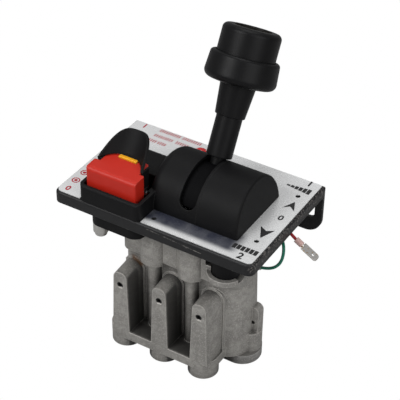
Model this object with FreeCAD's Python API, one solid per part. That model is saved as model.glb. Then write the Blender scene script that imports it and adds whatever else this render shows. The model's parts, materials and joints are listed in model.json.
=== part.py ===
import FreeCAD, Part
import math
import os

V = FreeCAD.Vector
os.makedirs("parts", exist_ok=True)

# The frame is in millimetres: the origin is the centre of the middle port's mouth,
# x runs to the right along the front edge, y to the back and z up.

# Fits and gaps shared by the whole assembly
slide_fit = 0.04
free_gap = 0.4
screw_fit = 0.15

# Valve body casting
port_pitch = 31.0
port_boss_r = 10.7
port_bore_r = 5.9
port_bore_depth = 12.0
port_drill_r = 3.0
boss_height = 8.0
ledge_top_z = 15.0
wall_front_y = 8.0
wall_back_y = 43.0
block_left_x = -36.0
block_right_x = 51.0
block_flare = 2.5
block_front_corner_r = 20.0
block_back_corner_r = 12.0
flange_under_z = 75.2
body_top_z = 88.5
flange_front_y = 3.7
rib_top_z = 65.9
rib_face_half = 5.0
rib_foot_half = 6.7
rib_root_half = 7.3
rib_hole_r = 1.5
rib_hole_z = 55.4
rib_shift = 2.0
boss_r = 10.0
back_boss_r = 8.3
boss_under_z = 73.0
front_wall_top_z = 98.0
front_wall_depth = 3.5
column_r = 5.2
cup_x = 41.5
cup_y = 8.6
cup_r = 9.7
cup_rim = 3.0
cup_rim_z = 85.6
cup_floor_z = 84.2
cup_under_z = 81.5
lug_x = 50.7
lug_y = 29.7
lug_r = 7.7
lug_top_z = 24.0
side_rib_x = 53.1
side_rib_half = 4.2
side_rib_front_y = 27.7
side_rib_top_z = 44.5
side_rib_hole_z = 31.4

# Bottom cover and its screws
cover_left_x = -29.0
cover_right_x = 58.6
cover_half_depth = 14.0
gasket_thickness = 0.8
cover_screw_r = 2.5
cover_head_r = 4.2
cover_head_height = 4.6

# Top of the mounting plate, which the lever axis and both levers' heights follow
plate_top_z = 119.0

# Lever axis and the dome around it
axis_y = 29.8
axis_z = plate_top_z + 0.7
lever_x = 14.2
lever_lean = 28.0
dome_r = 28.2
dome_wall = 2.2
dome_left_x = -16.0
dome_seam_x = 22.0
dome_right_x = 52.7
dome_end_lean = 6.0
dome_shoulder_r = 7.0
slot_half = 6.2
slot_front_angle = 60.5
slot_back_angle = -33.0

# Mounting plate and face label
plate_left_x = -77.0
plate_right_x = 73.0
plate_front_y = -15.5
plate_back_y = 84.5
sheet = 2.5
lip_depth = 8.5
plate_corner_r = 5.0
bend_r = 2.0
label_thickness = 0.5
label_margin = 1.6
rear_flange_depth = 39.5
rear_flange_bottom_z = plate_top_z - rear_flange_depth
rear_flange_corner_r = 12.0
window_height = 21.0
window_top_z = plate_top_z - 7.0
window_bottom_z = window_top_z - window_height
window_side = 5.5
mount_slot_z = rear_flange_bottom_z + 5.8
mount_slot_spacing = 100.0
mount_slot_r = 3.3
mount_slot_length = 14.0

# Pivot housing under the plate
housing_left_x = -26.0
housing_right_x = 51.0
housing_front_y = 7.8
housing_back_y = 56.0
housing_wall = 3.6
housing_floor = 3.4
post_r = 9.4
ear_r = 9.0
ear_width = 4.0
ear_left_x = -9.6
ear_right_x = 38.0

# Shaft, drum and cams
shaft_r = 4.0
bush_r = 6.0
drum_r = 24.5
drum_wall = 2.5
drum_half = 8.2
drum_span = 100.0
hub_r = 8.0
cam_half = 4.0
cam_rise_per_degree = 0.07
cam_low_r = 12.0
lever_forward = 79.0
lever_back = 3.0
nose_r = 2.5
nose_gap = 0.35

# Lever rod, collar and knob, measured up the lever from its axis
neck_r = 5.0
neck_foot = 5.0
stem_foot = 29.3
stem_r = 8.7
knob_top = 114.6
knob_height = 20.9
knob_foot = knob_top - knob_height
knob_r = 19.5
knob_disc_r = 12.6
knob_disc_depth = 2.2
knob_disc_thickness = 0.9
knob_crown = 10.6
knob_recess_r = 16.0
knob_recess_top = knob_top - knob_crown
knob_socket = 6.0
collar_lift = 5.0
collar_height = 18.2
collar_top = knob_foot + 2.8
collar_top_r = 22.9
collar_foot = collar_top - collar_height
collar_foot_r = 24.3
collar_cup_r = 20.2
collar_cup_floor = knob_foot - collar_lift - 2.7
collar_spring_r = 12.4
collar_spring_wire = 1.6
sleeve_length = 21.9
sleeve_foot = collar_foot - sleeve_length
sleeve_foot_r = 10.0
sleeve_top_r = 12.0
stem_top = collar_cup_floor + 2.0
lock_rod_r = 2.2
lock_pin_r = 1.5
lock_pin_at = sleeve_foot + 13.6

# Spools under the cams
spool_rod_r = 3.5
spool_r = 6.0
spool_groove_r = 3.6
spool_length = 80.0
spool_land = 10.0
spool_narrow_groove = 4.0
spool_wide_groove = 12.0
spool_top_land = 12.0
guide_r = 5.5
bore_top_z = 80.0
spool_travel = cam_rise_per_degree * (lever_forward + lever_back)

# Switch lever on the left, with its red grip and catch
switch_y = 5.0
switch_z = plate_top_z + 8.0
switch_pin_r = 2.0
switch_hub_r = 4.2
well_left_x = -56.5
well_right_x = -9.7
well_front_y = -15.5
well_back_y = 45.0
well_rim_z = plate_top_z + 13.0
well_hump_z = plate_top_z + 15.5
well_wall = 2.2
well_notch_x = -14.2
grip_left_x = -53.0
grip_right_x = -15.0
grip_front_y = -11.0
grip_back_y = 12.3
grip_height = 16.6
grip_under_z = switch_z + 1.0
grip_top_z = grip_under_z + grip_height
grip_step = 4.0
grip_step_y = -0.2
paddle_x = -34.0
paddle_tip_r = 13.4
paddle_base_half = 17.8
paddle_top_half = 14.2
paddle_reach = 18.7
paddle_thickness = 2.4
paddle_bow_r = 29.0
paddle_lean = 60.0
paddle_y = 12.9
paddle_z = grip_top_z + 0.2
catch_left_x = -40.7
catch_right_x = -27.0
catch_height = 7.9
catch_top_z = grip_top_z + 1.3
catch_under_z = catch_top_z - catch_height
catch_spring_length = 5.5
switch_swing = 28.0
switch_rise_per_degree = 0.085
switch_low_r = 8.5
switch_nose_r = 2.2

# Switch valve under the plate
valve_left_x = -52.0
valve_right_x = -12.0
valve_front_y = -12.6
valve_step_y = 1.2
valve_back_y = 20.0
valve_step_x = -30.0
valve_height = 16.1
valve_bottom_z = plate_top_z - sheet - valve_height
valve_corner_r = 8.0
switch_spool_r = 4.0
fitting_x = -47.0
fitting_y = -5.0
fitting_r = 5.2
fitting_length = 12.0
fitting_bottom_z = valve_bottom_z - fitting_length
tube_bore_r = 2.0

# Lamp, wires and terminals
lamp_x = -17.5
lamp_y = 73.5
lamp_r = 5.0
lamp_depth = 20.0
lamp_bottom_z = plate_top_z - lamp_depth
lens_r = 4.0
wire_r = 1.05
crimp_r = 1.5
earth_crimp_r = 1.9
blade_width = 6.3
blade_thickness = 0.8

X = V(1, 0, 0)
Y = V(0, 1, 0)
Z = V(0, 0, 1)
port_places = (-port_pitch, 0.0, port_pitch)
front_boss_places = ((-12.5, wall_front_y), (16.8, wall_front_y))
back_boss_places = ((-15.5, wall_back_y), (15.5, wall_back_y))
housing_screw_places = ((-13.0, 14.2), (27.6, 14.2)) + back_boss_places
spool_places = (0.0, port_pitch)
label_top_z = plate_top_z + label_thickness
plate_under_z = plate_top_z - sheet


def placed(across, a, b, c):
    """Point from outline values a, b and the value c along the axis named by across."""
    if across == "x":
        return V(c, a, b)
    if across == "y":
        return V(a, c, b)
    return V(a, b, c)


def outline(points, across, level):
    """Closed wire through (a, b, corner radius) points, with each corner rounded."""
    corners = []
    for i, (a, b, radius) in enumerate(points):
        here = V(a, b, 0)
        last = points[i - 1]
        following = points[(i + 1) % len(points)]
        if radius == 0:
            corners.append((here, here, here))
            continue
        back = (V(last[0], last[1], 0) - here).normalize()
        on = (V(following[0], following[1], 0) - here).normalize()
        half = back.getAngle(on) / 2
        middle = (back + on).normalize()
        reach = radius / math.tan(half)
        depth = radius / math.sin(half) - radius
        corners.append((here + back * reach, here + middle * depth, here + on * reach))
    edges = []
    for i, (start, middle, end) in enumerate(corners):
        if start.distanceToPoint(end) > 1e-6:
            curve = [placed(across, p.x, p.y, level) for p in (start, middle, end)]
            edges.append(Part.Arc(*curve).toShape())
        next_start = corners[(i + 1) % len(corners)][0]
        if end.distanceToPoint(next_start) > 1e-6:
            line = [placed(across, p.x, p.y, level) for p in (end, next_start)]
            edges.append(Part.makeLine(*line))
    return Part.Wire(edges)


def slab(points, across, start, end):
    """Solid of one outline carried from start to end along an axis."""
    face = Part.Face(outline(points, across, start))
    return face.extrude(placed(across, 0, 0, end - start))


def blend(first, second, across, start, end):
    """Solid between two outlines of the same make."""
    wires = [outline(first, across, start), outline(second, across, end)]
    return Part.makeLoft(wires, True, True)


def box(x0, x1, y0, y1, z0, z1):
    return Part.makeBox(x1 - x0, y1 - y0, z1 - z0, V(x0, y0, z0))


def upright(x, y, z0, z1, radius):
    return Part.makeCylinder(radius, z1 - z0, V(x, y, z0))


def crosswise(x0, x1, y, z, radius):
    return Part.makeCylinder(radius, x1 - x0, V(x0, y, z), X)


def bar(start, end, radius):
    return Part.makeCylinder(radius, (end - start).Length, start, end - start)


def turned(points):
    """Solid turned about the z axis from (radius, height, corner radius) points."""
    return Part.Face(outline(points, "y", 0)).revolve(V(0, 0, 0), Z, 360)


def tube(x, y, z0, z1, outer, inner):
    return upright(x, y, z0, z1, outer).cut(upright(x, y, z0, z1, inner))


def joined(shapes):
    """One solid from pieces that overlap, with the seams taken out."""
    first = shapes[0]
    return first.fuse(shapes[1:]).removeSplitter()


def group(shapes):
    return Part.makeCompound(shapes)


def moved(shape, x, y, z):
    other = shape.copy()
    other.translate(V(x, y, z))
    return other


def on_lever(shape):
    """Lean a piece drawn upright about the lever axis and put it in its place."""
    other = shape.copy()
    other.rotate(V(0, 0, 0), X, -lever_lean)
    other.translate(V(lever_x, axis_y, axis_z))
    return other


def coil(mean_r, wire, length, turns):
    """Spring of six-sided wire standing on the z axis."""
    stations = 12 * turns
    sections = []
    for i in range(stations + 1):
        angle = 2 * math.pi * turns * i / stations
        height = wire / 2 + (length - wire) * i / stations
        out = V(math.cos(angle), math.sin(angle), 0)
        corners = []
        for side in range(6):
            lean = math.pi / 3 * side
            reach = out * (mean_r + wire / 2 * math.cos(lean))
            corners.append(reach + Z * (height + wire / 2 * math.sin(lean)))
        sections.append(Part.makePolygon(corners + [corners[0]]))
    return Part.makeLoft(sections, True, True)


def fan(radius, start, end, width_from, width_to):
    """Wedge about the x axis between two angles measured from straight up to the front."""
    steps = 8
    points = [(0, 0, 0)]
    for i in range(steps + 1):
        angle = math.radians(start + (end - start) * i / steps)
        points.append((-radius * math.sin(angle), radius * math.cos(angle), 0))
    return slab(points, "x", width_from, width_to)


def follower_reach(turn, low_r, rate, direction, span_back, span_forward):
    """Distance from the axis to the follower's nose centre after a turn of the cam."""
    if direction > 0:
        return low_r + rate * (turn + span_back)
    return low_r + rate * (span_forward - turn)


def cam_plate(low_r, rate, direction, span_back, span_forward, offset, margin, hub, bore):
    """Cam in the plane x = 0 to 1 about the origin, offset evenly from the follower's path."""
    steps = 20
    points = []
    for i in range(steps + 1):
        turn = -span_back - margin + (span_forward + span_back + 2 * margin) * i / steps
        reach = follower_reach(turn, low_r, rate, direction, span_back, span_forward)
        slope = direction * math.degrees(rate)
        angle = math.radians(turn)
        outward = (-math.sin(angle), -math.cos(angle))
        along = (-math.cos(angle), math.sin(angle))
        length = math.hypot(reach, slope)
        normal_out = reach / length
        normal_along = -slope / length
        y = outward[0] * (reach - offset * normal_out) - along[0] * offset * normal_along
        z = outward[1] * (reach - offset * normal_out) - along[1] * offset * normal_along
        points.append(V(0, y, z))
    flank = Part.BSplineCurve()
    flank.interpolate(points)
    edges = [
        flank.toShape(),
        Part.makeLine(points[-1], V(0, 0, 0)),
        Part.makeLine(V(0, 0, 0), points[0]),
    ]
    lobe = Part.Face(Part.Wire(edges)).extrude(X)
    disc = crosswise(0, 1, 0, 0, hub)
    return joined([lobe, disc]).cut(crosswise(-1, 2, 0, 0, bore))


def widened(plate, x0, x1, y, z):
    """Stretch a one millimetre plate along x and set it on its shaft."""
    stretch = FreeCAD.Matrix()
    stretch.scale(x1 - x0, 1, 1)
    other = plate.transformGeometry(stretch)
    other.translate(V(x0, y, z))
    return other


def screw(x, y, head_z, head_r, head_height, shank_r, length, up):
    """Socket screw with its head above (up = 1) or below (up = -1) its seat at head_z."""
    head = Part.makeCylinder(head_r, head_height, V(x, y, head_z), Z * up)
    shank = Part.makeCylinder(shank_r, length, V(x, y, head_z), Z * -up)
    socket = Part.makeCylinder(head_r * 0.5, head_height * 0.5, V(x, y, head_z + up * head_height), Z * -up)
    return joined([head, shank]).cut(socket)


# Valve body: block, flange, port bosses, ribs, columns and the cup at the front right
def valve_body():
    def block_outline(right):
        return [
            (block_left_x, wall_front_y, 3),
            (right, wall_front_y, block_front_corner_r),
            (right, wall_back_y, block_back_corner_r),
            (block_left_x, wall_back_y, 3),
        ]

    block = blend(
        block_outline(block_right_x + block_flare),
        block_outline(block_right_x),
        "z",
        boss_height,
        body_top_z,
    )
    flange = slab(
        [
            (block_left_x - 1.5, flange_front_y, 7),
            (cup_x, flange_front_y, 0),
            (block_right_x, cup_y + cup_r, 0),
            (block_right_x, wall_back_y, block_back_corner_r),
            (block_left_x - 1.5, wall_back_y, 3),
        ],
        "z",
        flange_under_z,
        body_top_z,
    )
    end_x = port_pitch + port_boss_r
    ledge = slab(
        [
            (-end_x, -port_boss_r, port_boss_r - 0.1),
            (end_x, -port_boss_r, port_boss_r - 0.1),
            (end_x + 0.6, wall_front_y + 6, 3),
            (end_x + 1, wall_back_y - 4, 0),
            (block_left_x + 1, wall_back_y - 4, 0),
            (block_left_x + 1, wall_front_y + 8, 0),
            (-end_x, wall_front_y + 3, 6),
        ],
        "z",
        boss_height,
        ledge_top_z,
    )
    front_wall = slab(
        [
            (block_left_x - 1.5, flange_front_y, 3.4),
            (cup_x - cup_r - cup_rim, flange_front_y, 0),
            (cup_x - cup_r - cup_rim, flange_front_y + front_wall_depth, 0),
            (block_left_x - 1.5, flange_front_y + front_wall_depth, 0),
        ],
        "z",
        body_top_z - 1,
        front_wall_top_z,
    )
    pieces = [block, flange, ledge, front_wall]
    for port_x in port_places:
        pieces.append(upright(port_x, 0, 0, boss_height + 1, port_boss_r))
        x = port_x + rib_shift
        face = [
            (x - rib_foot_half, ledge_top_z - 1, 0),
            (x + rib_foot_half, ledge_top_z - 1, 0),
            (x + rib_face_half, rib_top_z, rib_face_half - 0.3),
            (x - rib_face_half, rib_top_z, rib_face_half - 0.3),
        ]
        root = [
            (x - rib_root_half, ledge_top_z - 1, 0),
            (x + rib_root_half, ledge_top_z - 1, 0),
            (x + rib_root_half, rib_top_z, rib_root_half - 0.3),
            (x - rib_root_half, rib_top_z, rib_root_half - 0.3),
        ]
        pieces.append(blend(face, root, "y", -port_boss_r, wall_front_y + 1))
        bead = rib_root_half + 1.3
        bead_slab = slab(
            [
                (x - bead, ledge_top_z - 1, 0),
                (x + bead, ledge_top_z - 1, 0),
                (x + bead, rib_top_z + 1.3, bead - 0.3),
                (x - bead, rib_top_z + 1.3, bead - 0.3),
            ],
            "y",
            wall_front_y - 0.8,
            wall_front_y + 2,
        )
        pieces.append(bead_slab.common(box(block_left_x, block_right_x, 0, 20, 0, 100)))
    for x, y in front_boss_places:
        raised = upright(x, y, boss_under_z, front_wall_top_z, boss_r)
        behind = box(x - 20, x + 20, flange_front_y + front_wall_depth, 40, body_top_z, front_wall_top_z + 1)
        pieces.append(raised.cut(behind))
        pieces.append(upright(x, y, ledge_top_z - 1, boss_under_z + 1, column_r))
    for x, y in back_boss_places:
        pieces.append(upright(x, y, boss_under_z, body_top_z, back_boss_r))
        pieces.append(upright(x, y, boss_height, boss_under_z + 1, column_r))
    cup_outer_r = cup_r + cup_rim
    rim = upright(cup_x, cup_y, cup_under_z, cup_rim_z, cup_outer_r)
    rim_end = box(0, 20, -2.5, 20, cup_rim_z - 2.6, cup_rim_z + 1)
    rim_end.rotate(V(0, 0, 0), Z, -15)
    rim_end.translate(V(cup_x + 5, cup_y, 0))
    pieces.append(rim.cut(rim_end))
    funnel = Part.makeLoft(
        [
            Part.Wire(Part.makeCircle(cup_outer_r, V(cup_x, cup_y, cup_under_z), Z)),
            Part.Wire(Part.makeCircle(9, V(cup_x + 0.6, cup_y + 10.4, cup_under_z - 12), Z)),
        ],
        True,
        True,
    )
    pieces.append(funnel)
    pieces.append(upright(lug_x, lug_y, boss_height, lug_top_z, lug_r))
    pieces.append(
        slab(
            [
                (side_rib_x - side_rib_half - 3, boss_height, 0),
                (side_rib_x + side_rib_half, boss_height, 0),
                (side_rib_x + side_rib_half, side_rib_top_z, side_rib_half),
                (side_rib_x - side_rib_half - 3, side_rib_top_z, side_rib_half),
            ],
            "y",
            side_rib_front_y,
            side_rib_front_y + 7,
        )
    )
    body = joined(pieces)
    holes = [upright(cup_x, cup_y, cup_floor_z, body_top_z + 1, cup_r)]
    for x in port_places:
        holes.append(upright(x, 0, -1, port_bore_depth, port_bore_r))
        holes.append(upright(x, 0, port_bore_depth - 1, rib_hole_z + 2, port_drill_r))
        rib_hole_start = V(x + rib_shift, -port_boss_r - 0.5, rib_hole_z)
        holes.append(Part.makeCylinder(rib_hole_r, port_boss_r, rib_hole_start, Y))
        cross_z = 26 if x < 0 else 42
        holes.append(Part.makeCylinder(port_drill_r, axis_y, V(x, 0, cross_z), Y))
    gallery_z = 26
    holes.append(crosswise(-port_pitch, port_pitch, axis_y, gallery_z, port_drill_r))
    for x in spool_places:
        holes.append(upright(x, axis_y, boss_height - 1, bore_top_z, spool_r + slide_fit))
        holes.append(upright(x, axis_y, bore_top_z - 1, body_top_z + 1, guide_r - 0.5))
    for x, y in housing_screw_places:
        holes.append(upright(x, y, body_top_z - 16, body_top_z + 1, cover_screw_r + screw_fit))
    for x, y in cover_screw_places():
        holes.append(upright(x, y, boss_height - 1, boss_height + 12, cover_screw_r + screw_fit))
    groove_z = boss_under_z + 0.3
    left_boss_x = front_boss_places[0][0]
    right_boss_x = front_boss_places[1][0]
    spans = (
        (block_left_x + 6, left_boss_x - boss_r + 1),
        (left_boss_x + boss_r - 1, right_boss_x - boss_r + 1),
        (right_boss_x + boss_r - 1, port_pitch + 2),
    )
    for x0, x1 in spans:
        holes.append(box(x0, x1, wall_front_y - 3, wall_front_y + 3, groove_z, flange_under_z + 0.8))
    side_hole_start = V(side_rib_x, side_rib_front_y - 1, side_rib_hole_z)
    holes.append(Part.makeCylinder(rib_hole_r, 5, side_hole_start, Y))
    holes.append(crosswise(block_right_x - 8, block_right_x + 1, earth_y, earth_z, 2 + screw_fit))
    holes.append(crosswise(block_right_x, block_right_x + 6, earth_y, earth_z, earth_eye_r + 0.4))
    return body.cut(holes)


def cover_screw_places():
    return [
        (cover_left_x + 7.5, axis_y - 0.5),
        (port_pitch / 2, axis_y - 9.2),
        (port_pitch / 2, axis_y + 8.2),
        (lug_x, lug_y),
    ]


def cover_outline():
    r = cover_half_depth - 0.1
    middle_y = axis_y - 0.5
    return [
        (cover_left_x, middle_y - cover_half_depth, r),
        (cover_right_x, middle_y - cover_half_depth, r),
        (cover_right_x, middle_y + cover_half_depth, r),
        (cover_left_x, middle_y + cover_half_depth, r),
    ]


# Bottom cover, its gasket and screws
def bottom_cover():
    cover = slab(cover_outline(), "z", 0, boss_height - gasket_thickness)
    seat_z = cover_head_height + 0.3
    holes = []
    for x, y in cover_screw_places():
        holes.append(upright(x, y, -1, seat_z, cover_head_r + 0.4))
        holes.append(upright(x, y, seat_z - 1, boss_height, cover_screw_r + screw_fit))
    for x in spool_places:
        holes.append(upright(x, axis_y, boss_height - 1.8, boss_height, 5.0))
    return cover.cut(holes)


def bottom_cover_gasket():
    gasket = slab(cover_outline(), "z", boss_height - gasket_thickness, boss_height)
    holes = [upright(x, axis_y, 0, 10, spool_r + slide_fit) for x in spool_places]
    for x, y in cover_screw_places():
        holes.append(upright(x, y, 0, 10, cover_screw_r + screw_fit))
    return gasket.cut(holes)


def bottom_cover_screws():
    seat_z = cover_head_height + 0.3
    return group(
        [
            screw(x, y, seat_z, cover_head_r, cover_head_height, cover_screw_r, 13, -1)
            for x, y in cover_screw_places()
        ]
    )


# Pivot housing: the black moulding that carries the shaft, cams and plate
housing_bottom_z = body_top_z + gasket_thickness
plate_screw_places = ((-8.2, 13.4), (-7.8, 51.5), (46.0, 48.0), (cup_x, cup_y))
plate_screw_r = 2.0
housing_seat_z = 95.0
housing_screw_length = 20.0


def housing_outline(inset):
    r = 8.0 - inset
    left = housing_left_x + inset
    right = housing_right_x - inset
    front = housing_front_y + inset
    back = housing_back_y - inset
    return [(left, front, r), (right, front, r), (right, back, r), (left, back, r)]


def body_gasket():
    gasket = slab(housing_outline(1.5), "z", body_top_z, housing_bottom_z)
    gasket = gasket.common(box(-60, 60, housing_front_y + 1, wall_back_y - 1, 0, 200))
    holes = [upright(cup_x, cup_y, 0, 200, cup_r)]
    for x in spool_places:
        holes.append(upright(x, axis_y, 0, 200, guide_r - 0.5))
    for x, y in housing_screw_places:
        holes.append(upright(x, y, 0, 200, cover_screw_r + screw_fit))
    return gasket.cut(holes)


def pivot_housing():
    shell = slab(housing_outline(0), "z", housing_bottom_z, plate_under_z)
    cavity = slab(housing_outline(housing_wall), "z", housing_bottom_z + housing_floor, plate_under_z + 1)
    pieces = [shell.cut(cavity)]
    for x, y in housing_screw_places:
        pieces.append(upright(x, y, housing_bottom_z, housing_seat_z, back_boss_r - 0.3))
    for x in spool_places:
        pieces.append(upright(x, axis_y, housing_bottom_z, housing_seat_z + 2, guide_r + 3))
    for x, y in plate_screw_places[:3]:
        pieces.append(upright(x, y, housing_bottom_z, plate_under_z, 4.5))
    pieces = [joined(pieces).common(box(-80, 80, housing_front_y, 90, 0, 200))]
    pieces.append(upright(cup_x, cup_y, cup_floor_z + 0.4, plate_under_z, post_r))
    for x in (ear_left_x, ear_right_x):
        pieces.append(box(x, x + ear_width, axis_y - ear_r, axis_y + ear_r, housing_bottom_z + 1, axis_z))
        pieces.append(crosswise(x, x + ear_width, axis_y, axis_z, ear_r))
    housing = joined(pieces)
    holes = [crosswise(lever_x - drum_half - 1.2, lever_x + drum_half + 1.2, axis_y, axis_z, drum_r + 0.8)]
    cam_clear_r = cam_low_r + spool_travel + 1.5
    for x in spool_places:
        holes.append(crosswise(x - cam_half - 1, x + cam_half + 1, axis_y, axis_z, cam_clear_r))
        holes.append(upright(x, axis_y, 0, 200, guide_r))
    holes.append(crosswise(ear_left_x - 1, ear_right_x + ear_width + 1, axis_y, axis_z, bush_r))
    for x, y in housing_screw_places:
        holes.append(upright(x, y, 0, 200, cover_screw_r + screw_fit))
        holes.append(upright(x, y, housing_seat_z, 200, cover_head_r + 0.4))
    for x, y in plate_screw_places:
        holes.append(upright(x, y, plate_under_z - 14, 200, plate_screw_r + screw_fit))
    return housing.cut(holes)


def housing_screws():
    return group(
        [
            screw(x, y, housing_seat_z, cover_head_r, cover_head_height, cover_screw_r, housing_screw_length, 1)
            for x, y in housing_screw_places
        ]
    )


def rod_guides():
    return group(
        [
            tube(x, axis_y, housing_bottom_z, housing_seat_z + 2, guide_r, spool_rod_r + slide_fit)
            for x in spool_places
        ]
    )


def shaft_bushes():
    bushes = []
    for x in (ear_left_x, ear_right_x):
        outer = crosswise(x, x + ear_width, axis_y, axis_z, bush_r)
        bushes.append(outer.cut(crosswise(x - 1, x + ear_width + 1, axis_y, axis_z, shaft_r + slide_fit)))
    return group(bushes)


# Mounting plate with turned-down edges and the deep rear flange
def plate_opening(z0, z1):
    drum_gap = 1.0
    drum_y = math.sqrt((drum_r + drum_gap) ** 2 - (axis_z - label_top_z) ** 2)
    cam_y = cam_low_r + spool_travel + 1.5
    reach = lever_x - drum_half - drum_gap
    far_reach = lever_x + drum_half + drum_gap
    return [
        box(reach, far_reach, axis_y - drum_y, axis_y + drum_y, z0, z1),
        box(-cam_half - 1, port_pitch + cam_half + 1, axis_y - cam_y, axis_y + cam_y, z0, z1),
        box(ear_left_x - 1.8, ear_right_x + ear_width + 1.8, axis_y - ear_r - 0.5, axis_y + ear_r + 0.5, z0, z1),
        box(paddle_x - 5.5, paddle_x + 5.5, switch_y - 8, switch_y + 8, z0, z1),
        upright(lamp_x, lamp_y, z0, z1, lens_r + 0.1),
    ]


def plate_outline(inset, radius, back_radius):
    left = plate_left_x + inset
    right = plate_right_x - inset
    front = plate_front_y + inset
    back = plate_back_y - inset
    return [
        (left, front, radius),
        (right, front, radius),
        (right, back, back_radius),
        (left, back, back_radius),
    ]


console_holes = ((-3.9, -6.4), (63.1, 8.3), (63.1, 63.8))
console_hole_r = 1.65
valve_screw_places = ((-47.0, 13.0), (-20.0, -7.0))


def mounting_plate():
    lip_bottom_z = plate_top_z - lip_depth
    pan = slab(plate_outline(0, plate_corner_r, 0), "z", lip_bottom_z, plate_top_z)
    rims = [edge for edge in pan.Edges if edge.BoundBox.ZMin > plate_top_z - 0.01]
    pan = pan.makeFillet(bend_r, rims)
    hollow = slab(plate_outline(sheet, plate_corner_r - sheet, 0), "z", lip_bottom_z - 1, plate_under_z)
    flange = slab(
        [
            (plate_left_x, plate_top_z - 3, 0),
            (plate_right_x, plate_top_z - 3, 0),
            (plate_right_x, rear_flange_bottom_z, rear_flange_corner_r),
            (plate_left_x, rear_flange_bottom_z, rear_flange_corner_r),
        ],
        "y",
        plate_back_y - sheet,
        plate_back_y,
    )
    corner_trim = slab(plate_outline(0, plate_corner_r, 0), "z", 0, plate_top_z)
    window = slab(
        [
            (plate_left_x + window_side, window_bottom_z, 4),
            (plate_right_x - window_side, window_bottom_z, 4),
            (plate_right_x - window_side, window_top_z, 4),
            (plate_left_x + window_side, window_top_z, 4),
        ],
        "y",
        plate_back_y - sheet - 1,
        plate_back_y + 1,
    )
    plate = joined([pan.cut(hollow), flange.common(corner_trim)])
    holes = [window] + plate_opening(plate_under_z - 1, plate_top_z + 1)
    middle_x = (plate_left_x + plate_right_x) / 2
    for side in (-1, 1):
        x = middle_x + side * mount_slot_spacing / 2
        half = mount_slot_length / 2
        slot = slab(
            [
                (x - half, mount_slot_z - mount_slot_r, mount_slot_r - 0.01),
                (x + half, mount_slot_z - mount_slot_r, mount_slot_r - 0.01),
                (x + half, mount_slot_z + mount_slot_r, mount_slot_r - 0.01),
                (x - half, mount_slot_z + mount_slot_r, mount_slot_r - 0.01),
            ],
            "y",
            plate_back_y - sheet - 1,
            plate_back_y + 1,
        )
        holes.append(slot)
    for x, y in console_holes:
        holes.append(upright(x, y, 0, 200, console_hole_r))
    for x, y in plate_screw_places + valve_screw_places:
        holes.append(upright(x, y, 0, 200, plate_screw_r + screw_fit))
    return plate.cut(holes)


def face_label():
    sheet_shape = slab(plate_outline(label_margin, 3.5, 1.5), "z", plate_top_z, label_top_z)
    notch = box(
        well_left_x - 0.3,
        well_right_x + 0.3,
        plate_front_y - 1,
        well_back_y + 0.3,
        plate_top_z - 1,
        label_top_z + 1,
    )
    under_dome = box(
        well_notch_x + well_wall,
        dome_right_x - dome_wall,
        axis_y - dome_r + dome_wall,
        axis_y + dome_r - dome_wall,
        plate_top_z - 1,
        label_top_z + 1,
    )
    lens_hole = upright(lamp_x, lamp_y, 0, 200, lens_r + 0.1)
    holes = [notch, under_dome, lens_hole]
    for x, y in console_holes:
        holes.append(upright(x, y, 0, 200, console_hole_r))
    return sheet_shape.cut(holes)


def plate_screws():
    return group([screw(x, y, plate_top_z, 3.6, 2.6, plate_screw_r, 14, 1) for x, y in plate_screw_places])


# Control cover: the switch well and the left part of the dome in one moulding
def dome_solid(x0, x1, radius):
    return crosswise(x0, x1, axis_y, axis_z, radius).common(box(x0 - 1, x1 + 1, -60, 120, label_top_z, 200))


def slot_cut():
    band = crosswise(lever_x - slot_half, lever_x + slot_half, 0, 0, dome_r + 4)
    band = band.common(fan(60, slot_back_angle, slot_front_angle, lever_x - 20, lever_x + 20))
    ends = []
    for angle in (slot_back_angle, slot_front_angle):
        turn = math.radians(angle)
        tip = V(lever_x, -60 * math.sin(turn), 60 * math.cos(turn))
        ends.append(bar(V(lever_x, 0, 0), tip, slot_half))
    return moved(joined([band] + ends), 0, axis_y, axis_z)


def control_cover():
    profile = [
        (well_front_y, plate_top_z, 0),
        (well_front_y, well_rim_z, 2.5),
        (16, well_rim_z, 6),
        (25, well_hump_z, 8),
        (well_back_y, well_hump_z - 0.8, 9),
        (well_back_y, plate_top_z, 0),
    ]
    well = slab(profile, "x", well_left_x, well_right_x)
    plan = slab(
        [
            (well_left_x, well_front_y, 4),
            (well_right_x, well_front_y, 4),
            (well_right_x, well_back_y, 4),
            (well_left_x, well_back_y, 6),
        ],
        "z",
        plate_top_z - 1,
        160,
    )
    well = well.common(plan)
    dome = dome_solid(dome_left_x, dome_seam_x, dome_r)
    end_edges = [
        edge
        for edge in dome.Edges
        if edge.BoundBox.XMax < dome_left_x + 0.01 and edge.BoundBox.ZMax > axis_z + 5
    ]
    dome = dome.makeFillet(dome_shoulder_r, end_edges)
    outer = joined([well, dome])
    inside_left = well_left_x + well_wall
    inside_right = well_right_x - well_wall
    inside_front = well_front_y + well_wall
    trough_back = 18.0
    trough = slab(
        [
            (inside_left, inside_front, 2),
            (inside_right, inside_front, 2),
            (inside_right, 1.8, 0),
            (well_notch_x, 1.8, 0),
            (well_notch_x, trough_back, 2),
            (inside_left, trough_back, 2),
        ],
        "z",
        plate_top_z - 1,
        170,
    )
    under_hump = box(
        inside_left, well_notch_x, trough_back + well_wall, well_back_y - 5, 0, well_rim_z - 2
    )
    dome_inside = crosswise(well_notch_x + well_wall, dome_seam_x + 1, axis_y, axis_z, dome_r - dome_wall)
    pin_hole = crosswise(well_left_x - 1, well_notch_x + well_wall + 1, switch_y, switch_z, switch_pin_r)
    return outer.cut([trough, under_hump, dome_inside, slot_cut(), pin_hole])


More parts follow.
